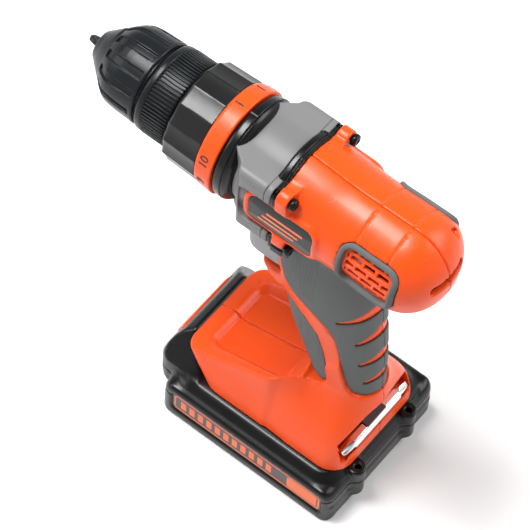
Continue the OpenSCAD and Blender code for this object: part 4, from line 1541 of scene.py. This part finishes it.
        def shape(x: Array, y: Array, z: Array) -> Array:
            """Field of the piece.

            Args:
                x: X of the points.
                y: Y of the points.
                z: Z of the points.

            Returns:
                Signed distance in millimetres, negative inside.
            """
            body = self.body(x, y, z)
            region = self.in_rear_rubber(x, y, z) if rear else self.in_front_rubber(x, y, z)
            outer = body - 0.12 + self.rib_depth(x, y, z, rear)
            f = soft_max(outer, region + 0.22, 0.8)
            f = np.maximum(f, -(body + self.skin - 0.06))
            return np.maximum(f, 0.04 - side.value * y)

        y0, y1 = side.span(0.0, self.grip_reach[0 if rear else 1])
        (x0, z0), (x1, z1) = ((14.0, 68), (78.5, 180)) if rear else ((12.0, 65), (52, 119))
        return solid(f"{grip.value}_rubber_{side.label}", shape, (x0, y0, z0), (x1, y1, z1), 0.6)

    def rib_depth(self, x: Array, y: Array, z: Array, rear: bool) -> Array:
        """Depth of the fine upright ribs in the rubber.

        Args:
            x: X of the points.
            y: Y of the points.
            z: Z of the points.
            rear: Whether it is the rear rubber.

        Returns:
            Depth in millimetres.
        """
        wave = 0.5 - 0.5 * np.cos((x - 21.6) * 2 * math.pi / 1.83)
        if rear:
            fade = np.clip(np.minimum(np.minimum(x - 20.8, 44.4 - x), np.minimum(z - 134.5, 169 - z)), 0, 1)
        else:
            fade = np.clip(np.minimum(z - 76, 113 - z) / 1.5, 0, 1)
        return 0.34 * wave * fade

    def along(self, y: Array, z: Array) -> Array:
        """Height along the barrel's curved side, measured on its surface."""
        return self.side_r * np.arctan2(z - SPINDLE_Z, np.abs(y))

    def vent_box(self, side: Side, reach: float) -> tuple[Points, Points]:
        """Low and high corner of the space sampled for a vent piece."""
        y0, y1 = side.span(8.0, reach)
        return (self.vent[0][0], y0, SPINDLE_Z - 10), (self.vent[1][0], y1, SPINDLE_Z + 17)

    def vent_ring(self, side: Side) -> bpy.types.Object:
        """Rounded rubber ring round a vent.

        Args:
            side: Side of the drill.

        Returns:
            The object.
        """
        half = 1.35
        low = (self.vent[0][0] + half, self.vent[0][1] + half)
        high = (self.vent[1][0] - half, self.vent[1][1] - half)

        def shape(x: Array, y: Array, z: Array) -> Array:
            """Field of the piece.

            Args:
                x: X of the points.
                y: Y of the points.
                z: Z of the points.

            Returns:
                Signed distance in millimetres, negative inside.
            """
            line = rect_field(x, self.along(y, z), low, high, 7.0 - half)
            face = self.barrel(x, y, z)
            f = (np.sqrt((line / half) ** 2 + ((face + 0.3) / 1.7) ** 4) - 1) * half
            f = np.maximum(f, -(face + 1.45))
            return np.maximum(f, 5 - side.value * y)

        return solid(f"vent_bead_{side.label}", shape, *self.vent_box(side, 28.0), 0.5)

    def vent_grille(self, side: Side) -> bpy.types.Object:
        """Orange plate with staggered louvre slots in a vent.

        Args:
            side: Side of the drill.

        Returns:
            The object.
        """
        low = (self.vent[0][0] + 2.4, self.vent[0][1] + 2.4)
        high = (self.vent[1][0] - 2.4, self.vent[1][1] - 2.4)

        def shape(x: Array, y: Array, z: Array) -> Array:
            """Field of the piece.

            Args:
                x: X of the points.
                y: Y of the points.
                z: Z of the points.

            Returns:
                Signed distance in millimetres, negative inside.
            """
            face = self.barrel(x, y, z)
            height = self.along(y, z)
            region = rect_field(x, height, low, high, 4.4)
            f = np.maximum(region, np.maximum(face + 1.3, -(face + 3.4)))
            inner = region + 1.5
            row = np.floor((height + 7.0) / 4.6)
            v = (height + 7.0) - row * 4.6 - 2.3
            u = (x + (row % 2) * 3.6) % 7.2 - 3.6
            slot = rect_field(u, v, (-2.9, -1.35), (2.9, 1.35), 0.6)
            return np.maximum(np.maximum(f, -np.maximum(slot, inner)), 5 - side.value * y)

        return solid(f"vent_louvres_{side.label}", shape, *self.vent_box(side, 26.0), 0.42)

    def nameplate(self, side: Side) -> bpy.types.Object:
        """Black nameplate with a plain striped accent, following the pod's curve.

        Args:
            side: Side of the drill.

        Returns:
            The object.
        """
        low = (self.plate[0][0] + 0.12, self.plate[0][1] + SPINDLE_Z + 0.12)
        high = (self.plate[1][0] - 0.12, self.plate[1][1] + SPINDLE_Z - 0.12)

        def face(out: float) -> Callable[[float, float], float]:
            """Give Y of the pod's face, moved out by a distance, at an X and Z."""
            return lambda x, z: side.value * math.sqrt((25.5 + out) ** 2 - (0.8 * (z - SPINDLE_Z)) ** 2)

        plate = panel("plate", rounded_loop(low, high, 4.5), face(-0.28), -side.value * 1.0)
        dress(plate, GLOSS_BLACK)
        parts = [plate]
        for k in range(3):
            z0 = SPINDLE_Z - 3.9 + k * 3.4
            bar = panel(f"stripe_{k}", rounded_loop((14.0 + k * 2.2, z0), (34.0 + k * 2.2, z0 + 1.3), 0.6, 4),
                        face(-0.20), -side.value * 0.3)
            dress(bar, STRIPE_ORANGE)
            parts.append(bar)
        return joined(f"nameplate_striped_{side.label}", parts)

    def trigger(self) -> bpy.types.Object:
        """Grey trigger with a rounded finger face.

        Returns:
            The object.
        """

        def shape(x: Array, y: Array, z: Array) -> Array:
            """Field of the piece.

            Args:
                x: X of the points.
                y: Y of the points.
                z: Z of the points.

            Returns:
                Signed distance in millimetres, negative inside.
            """
            outline = polygon_field(x, z, [(-4.4, 152), (-2.8, 157), (20, 157), (20, 127.5), (0.5, 127.5),
                                           (-2.6, 128.6), (-4.5, 131.5), (-4.9, 134), (-4.9, 148)])
            scoop = 16.8 - np.hypot(x + 19.6, z - 143)
            f = soft_max(outline, scoop, 1.0)
            crown = np.hypot((x - 10) / 14.5, y / 10.4) - 1
            f = soft_max(f, crown * 11.5, 1.5)
            return soft_max(f, np.abs(y) - 8.5, 2.2)

        return solid("trigger_shaped", shape, (-5, -9, 127), (20.5, 9, 157.5), 0.45)

    def screws(self) -> bpy.types.Object:
        """The four gearcase screws, each with a recessed head.

        Returns:
            The object.
        """
        first = math.degrees(math.atan2(*self.screw))
        rings = [repeat(name, screw_mesh("gearcase_screw", 19.2, 1.42, 3.0), Layout.RING, 2, SCREW,
                        place=(self.joint_x - 12, 0, SPINDLE_Z), start=start, turn=180,
                        radius=math.hypot(*self.screw))
                 for name, start in (("ring_a", first), ("ring_b", -first))]
        return joined("gearcase_screws_recessed", rings)

    def build(self) -> None:
        """Build and dress every piece of the housing."""
        for side in Side:
            for piece, finish, slot, node in (
                    (self.half(side), ORANGE, "orange_shell", "housing"),
                    (self.rubber(side, Grip.REAR), RUBBER, "grip_rubber", "grip_rubber"),
                    (self.rubber(side, Grip.FRONT), RUBBER, "grip_rubber", "front_grip"),
                    (self.vent_ring(side), RUBBER, "grip_rubber", "vent_ring"),
                    (self.vent_grille(side), ORANGE, "orange_shell", "vent_grille")):
                declare(piece, "housing", slot, f"{node}_{side.label}", finish=finish)
            declare(self.nameplate(side), "housing", "black_plastic", f"nameplate_{side.label}")
        declare(self.trigger(), "trigger", "trigger_grey", "trigger", finish=TRIGGER_GREY)
        declare(self.screws(), "housing", "screw_steel", "gearcase_screws")


def screw_mesh(name: str, shank: float, shank_r: float, head_r: float) -> bpy.types.Object:
    """Screw along +X with a domed head and a six-pointed recess.

    Args:
        name: Piece name.
        shank: Length of the shank in millimetres.
        shank_r: Radius of the shank.
        head_r: Radius of the head.

    Returns:
        The object, its shank starting at x = 0.
    """
    steps = 36
    rows = [(0.0, shank_r * 0.6, 0), (0.4, shank_r, 0), (shank - 0.7, shank_r, 0), (shank - 0.65, head_r - 0.1, 0),
            (shank + 0.8, head_r, 0), (shank + 1.6, head_r - 0.35, 0), (shank + 1.95, head_r - 1.0, 0),
            (shank + 1.95, 1.55, 1), (shank + 0.9, 1.35, 1)]
    rings = []
    for s, r, star in rows:
        ring = []
        for i in range(steps):
            a = 2 * math.pi * i / steps
            rr = r * (1 - 0.2 * star * (0.5 - 0.5 * math.cos(6 * a)))
            ring.append((s, -rr * math.sin(a), rr * math.cos(a)))
        rings.append(ring)
    return stacked(name, rings)


# ---------------------------------------------------------------------------------------------
# Battery
# ---------------------------------------------------------------------------------------------


@dataclass
class Battery:
    """Slide-on battery: two cases, release button, labels and the bit stored above it.

    Attributes:
        front_x: Front end of the tray.
        rear_x: Rear end of the tray.
        half_w: Half width.
        top_z: Top of the tray.
        split_z: Height of the seam between the cases.
        boss_y: Y of the two rear bosses.
        label: Low and high corner of the label recess in X and Z.
        bars: Number of plain bars on a label.
        hump: Outline of the raised front in X and Z.
        stored_at: X and Z of the spare bit's axis.
    """

    front_x: float = -21.5
    rear_x: float = 81.5
    half_w: float = 42.25
    top_z: float = 24.0
    split_z: float = 17.95
    boss_y: float = 20.0
    label: tuple[tuple[float, float], tuple[float, float]] = ((-14.6, 5.4), (76.5, 20.2))
    bars: int = 11
    stored_at: tuple[float, float] = (73.5, 38.0)
    hump: tuple[tuple[float, float], ...] = (
        (-21.5, 7.0), (-28.0, 9.0), (-30.6, 13.0), (-31.5, 19.0), (-31.3, 26.5), (-29.9, 32.0), (-27.6, 37.0),
        (-24.2, 41.0), (-20.3, 43.6), (-19.0, 43.2), (-6.9, 28.2), (-6.9, 7.0))

    def form(self, x: Array, y: Array, z: Array) -> Array:
        """Field of the battery's outside.

        Args:
            x: X of the points.
            y: Y of the points.
            z: Z of the points.

        Returns:
            Signed distance in millimetres, negative inside.
        """
        section = np.maximum(rect_field(x, z, (self.front_x, 0.0), (self.rear_x, self.top_z), 2.0),
                             rect_field(x, z, (self.front_x, -20.0), (self.rear_x, self.top_z), 7.0))
        plan = rect_field(x, y, (self.front_x, -self.half_w), (self.rear_x, self.half_w), 6.0)
        tray = soft_max(section, plan, np.where(z > 12, 3.0, 1.0))
        shrink = np.maximum(z - self.top_z, 0) * 1.15
        deck = rect_field(x, y, (self.front_x + 2, -39.0), (self.rear_x - 3.5, 39.0), 12.0) + shrink
        deck = np.maximum(soft_max(deck, z - 27.6, 1.2), 18.0 - z)
        tray = soft_min(tray, deck, 2.2)
        lean = np.maximum(z - 27, 0)
        outline = rect_field(x, y, (-31.7 + lean * 0.4, -33.0), (12.0, 33.0), 8.0)
        outline = np.maximum(outline, np.abs(y) - 33.0 + lean * 0.8)
        hump = soft_max(polygon_field(x, z, self.hump) - 0.3, outline, 2.0)
        tray = soft_min(tray, hump, 3.0)
        boss = np.hypot(x - self.rear_x + 1.4, np.abs(y) - self.boss_y) - 4.6
        boss = soft_max(boss, np.maximum(5.2 - z, z - 26.4), 1.2)
        return soft_min(tray, boss, 2.4)

    def rails(self, x: Array, y: Array, z: Array) -> Array:
        """Field of the raised rail block that slides into the foot.

        Args:
            x: X of the points.
            y: Y of the points.
            z: Z of the points.

        Returns:
            Signed distance in millimetres, negative inside.
        """
        rail = box_field(x, y, z, (-15, -24.0, 20), (59.8, 24.0, 39.0), 1.0)
        groove = box_field(x, np.abs(y), z, (-20, 22.5, 30.6), (70, 30, 34.4), 0.3)
        return np.maximum(rail, -groove)

    def hollow(self, x: Array, y: Array, z: Array) -> Array:
        """Field of the space inside the cases.

        Args:
            x: X of the points.
            y: Y of the points.
            z: Z of the points.

        Returns:
            Signed distance in millimetres, negative inside.
        """
        cells = box_field(x, y, z, (self.front_x + 3.0, -39.1, 2.2), (self.rear_x - 3.0, 39.1, 22.4), 1.0)
        board = box_field(x, y, z, (-9, -21, 20), (41, 21, 36.0), 0.5)
        return np.minimum(cells, board)

    def recesses(self, x: Array, y: Array, z: Array) -> Array:
        """Field of the label recesses, the terminal slots, the button's pocket and the boss holes.

        Args:
            x: X of the points.
            y: Y of the points.
            z: Z of the points.

        Returns:
            Signed distance in millimetres, negative inside.
        """
        label = rect_field(x, z, self.label[0], self.label[1], 3.2)
        f = soft_max(label, self.half_w - 1.15 - np.abs(y), 0.3)
        slot = np.abs(np.abs(np.abs(y) - 9.0) - 4.5) - 1.0
        f = np.minimum(f, np.maximum(slot, np.maximum(46.5 - x, 31 - z)))
        pocket = polygon_field(x, z, [(-40, 27.3), (-23.4, 27.3), (-19.9, 37.9), (-40, 37.9)])
        f = np.minimum(f, np.maximum(pocket, np.abs(y) - 18.8))
        bore = np.hypot(x - self.rear_x + 0.9, np.abs(y) - self.boss_y)
        return np.minimum(f, np.maximum(bore - 1.5, 22.5 - z))

    def shell(self, x: Array, y: Array, z: Array) -> Array:
        """Field of both cases together.

        Args:
            x: X of the points.
            y: Y of the points.
            z: Z of the points.

        Returns:
            Signed distance in millimetres, negative inside.
        """
        f = np.minimum(self.form(x, y, z), self.rails(x, y, z))
        f = soft_max(f, -self.recesses(x, y, z), 0.25)
        return np.maximum(f, -self.hollow(x, y, z))

    def cases(self) -> tuple[bpy.types.Object, bpy.types.Object]:
        """Lower and upper case.

        Returns:
            The lower and the upper case.
        """

        def lower(x: Array, y: Array, z: Array) -> Array:
            """Field of the lower case."""
            return soft_max(self.shell(x, y, z), z - self.split_z + 0.06, 0.35)

        def upper(x: Array, y: Array, z: Array) -> Array:
            """Field of the upper case."""
            return soft_max(self.shell(x, y, z), self.split_z + 0.06 - z, 0.35)

        x0, x1 = -32.5, self.rear_x + 4
        below = solid("battery_lower_shell", lower, (x0, -43, 0), (x1, 43, 18), 0.72, 0.02)
        above = solid("battery_upper_shell", upper, (x0, -43, 18), (x1, 43, 44), 0.72, 0.02)
        return below, above

    def button(self) -> bpy.types.Object:
        """Release button with grip lines.

        Returns:
            The object.
        """

        def shape(x: Array, y: Array, z: Array) -> Array:
            """Field of the piece.

            Args:
                x: X of the points.
                y: Y of the points.
                z: Z of the points.

            Returns:
                Signed distance in millimetres, negative inside.
            """
            f = polygon_field(x, z, [(-31.3, 28), (-30.1, 32), (-28, 37), (-24.4, 37), (-27.5, 28)])
            f = soft_max(f, np.abs(y) - 18.0, 1.2)
            ridges = np.maximum(0.35 - 0.35 * np.cos(y * 2 * math.pi / 3.0), 0) * (np.abs(y) < 13.5)
            face = (x + 29.9) * 0.93 - (z - 32.5) * 0.38
            return np.maximum(f, -(face + 0.6 - ridges * 0.8))

        return solid("release_button_ribbed", shape, (-32, -19, 27.5), (-24, 19, 37.5), 0.4)

    def labels(self) -> bpy.types.Object:
        """Plain side labels: dark panel, orange frame and orange end block.

        Returns:
            The object.
        """
        parts = []
        (x0, z0), (x1, z1) = ((u + 0.5, v + 0.5) if k == 0 else (u - 0.5, v - 0.5)
                              for k, (u, v) in enumerate(self.label))
        for side in Side:

            def face(out: float, sign: int = side.value) -> Callable[[float, float], float]:
                """Give Y of the label's face, moved out by a distance, at an X and Z."""
                return lambda x, z: sign * (self.half_w - 0.75 + out)

            base = panel("base", rounded_loop((x0, z0), (x1, z1), 2.8), face(0.0), -side.value * 0.4)
            dress(base, LABEL_DARK)
            thin = -side.value * 0.1
            rim = panel("rim", rounded_loop((x0 + 0.9, z0 + 1.0), (x1 - 0.9, z1 - 1.0), 2.4), face(0.06), thin,
                        rounded_loop((x0 + 1.9, z0 + 2.0), (x1 - 1.9, z1 - 2.0), 1.7))
            end = panel("end", rounded_loop((x1 - 20.5, z0 + 2.4), (x1 - 2.6, z1 - 2.4), 1.4), face(0.06), thin)
            prints = [rim, end]
            for k in range(self.bars):
                x = x0 + 5.0 + k * 5.2
                prints.append(panel(f"bar_{side.label}_{k}", rounded_loop((x, z0 + 3.6), (x + 3.2, z1 - 3.6), 0.6, 3),
                                    face(0.06), thin))
            for part in prints:
                dress(part, STRIPE_ORANGE)
            parts += [base, *prints]
        return joined("battery_side_labels", parts)

    def stored_bit(self) -> bpy.types.Object:
        """Double-ended bit lying across the back of the foot.

        Returns:
            The object.
        """
        bit = bit_mesh("stored_bit_shaped", -25.0, 50.0, double=True)
        x, z = self.stored_at
        turn = Matrix.Translation((x * MM, 0, z * MM)) @ Matrix.Rotation(math.radians(90), 4, "Z")
        bit.data.transform(turn @ Matrix.Translation((0, 0, -SPINDLE_Z * MM)))
        point_outwards(bit)
        return bit

    def build(self) -> None:
        """Build and dress the battery."""
        below, above = self.cases()
        declare(below, "battery", "battery_plastic", "battery_lower_case", finish=BATTERY_BLACK)
        declare(above, "battery", "battery_plastic", "battery_upper_case", finish=BATTERY_BLACK)
        declare(self.button(), "release_button", "orange_shell", "release_button", finish=ORANGE)
        declare(self.labels(), "battery", "label_panel", "battery_labels")
        declare(self.stored_bit(), "stored_bit", "bright_steel", "stored_bit", finish=BRIGHT)


# ---------------------------------------------------------------------------------------------
# Stage
# ---------------------------------------------------------------------------------------------


@dataclass
class Stage:
    """Camera, light and floor.

    Attributes:
        azimuth: Turn of the camera round the object, in degrees.
        elevation: Height angle of the camera, in degrees.
        roll: Turn about the line of sight, in degrees.
        target: Point looked at, in millimetres.
        distance: Camera distance in millimetres.
        lens: Focal length on a 36 mm sensor.
        shift: Shift of the picture, in sensor widths.
    """

    azimuth: float = 33.491
    elevation: float = 58.899
    roll: float = 5.503
    target: tuple[float, float, float] = (2.5, 0.0, 96.3)
    distance: float = 1608.4
    lens: float = 234.86
    shift: tuple[float, float] = (0.0061, 0.0136)

    def camera(self) -> None:
        """Place the camera and make it the scene's camera."""
        a, e, roll = (math.radians(v) for v in (self.azimuth, self.elevation, self.roll))
        ahead = Vector((-math.sin(a) * math.cos(e), math.cos(a) * math.cos(e), -math.sin(e)))
        side = Vector((math.cos(a), math.sin(a), 0))
        top = side.cross(ahead)
        right = math.cos(roll) * side + math.sin(roll) * top
        up = -math.sin(roll) * side + math.cos(roll) * top
        data = bpy.data.cameras.new("camera")
        data.lens = self.lens
        data.sensor_width = 36.0
        data.shift_x, data.shift_y = self.shift
        data.clip_end = 50.0
        camera = linked("camera", data)
        place = Matrix((right, up, -ahead)).transposed().to_4x4()
        place.translation = (Vector(self.target) - ahead * self.distance) * MM
        camera.matrix_world = place
        bpy.context.scene.camera = camera

    def lamp(self, name: str, place: Sequence[float], size: float, watts: float,
             aim: Sequence[float] = (0.0, 0.0, 0.1)) -> None:
        """Add a soft square lamp.

        Args:
            name: Lamp name.
            place: Position in metres.
            size: Edge length in metres.
            watts: Power.
            aim: Point the lamp faces.
        """
        data = bpy.data.lights.new(name, "AREA")
        data.size = size
        data.energy = watts
        lamp = linked(name, data)
        lamp.location = place
        lamp.rotation_euler = (Vector(aim) - Vector(place)).to_track_quat("-Z", "Y").to_euler()

    def sky(self) -> bpy.types.World:
        """Soft surround: bright near the horizon and dim overhead.

        Returns:
            The world.
        """
        world = bpy.data.worlds.new("studio")
        world.use_nodes = True
        tree = world.node_tree
        place = tree.nodes.new("ShaderNodeTexCoord")
        parts = tree.nodes.new("ShaderNodeSeparateXYZ")
        spread = tree.nodes.new("ShaderNodeMapRange")
        tree.links.new(place.outputs["Generated"], parts.inputs[0])
        tree.links.new(parts.outputs["Z"], spread.inputs["Value"])
        for key, value in (("From Min", 0.1), ("From Max", 0.85), ("To Min", 0.85), ("To Max", 0.12)):
            spread.inputs[key].default_value = value
        back = tree.nodes["Background"]
        back.inputs["Color"].default_value = (1, 1, 1, 1)
        tree.links.new(spread.outputs["Result"], back.inputs["Strength"])
        return world

    def floor(self) -> None:
        """Add the plain pale floor."""
        edge = 6.0
        piece = link_mesh("floor", np.array([[-edge, -edge, 0], [edge, -edge, 0], [edge, edge, 0],
                                             [-edge, edge, 0]], float), [(0, 1, 2, 3)])
        dress(piece, Finish("pale_floor", (0.86, 0.86, 0.86), 0.6, grain=40, bump=0.00005, variation=0.004))

    def build(self) -> None:
        """Set up the whole stage."""
        bpy.context.scene.world = self.sky()
        bpy.context.scene.view_settings.view_transform = "Standard"
        self.floor()
        self.lamp("key", (-0.45, -0.15, 1.6), 0.6, 33)
        self.lamp("fill", (-1.1, -0.7, 0.9), 0.6, 5)
        self.lamp("back", (0.9, 1.0, 1.2), 1.0, 17)
        self.camera()


def dress_frame() -> None:
    """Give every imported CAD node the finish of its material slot."""
    slots = {s["node"]: s["material_slot"] for s in frame["record"]["subparts"]}
    for name, node in frame["nodes"].items():
        dress(node, SLOT_FINISH[slots[name]])


def main() -> None:
    """Build everything and report each piece."""
    logging.basicConfig(level=logging.INFO, format="%(message)s")
    Stage().build()
    dress_frame()
    Chuck().build()
    Collar().build()
    Gearcase().build()
    Housing().build()
    Battery().build()


if __name__ == "__main__":
    main()
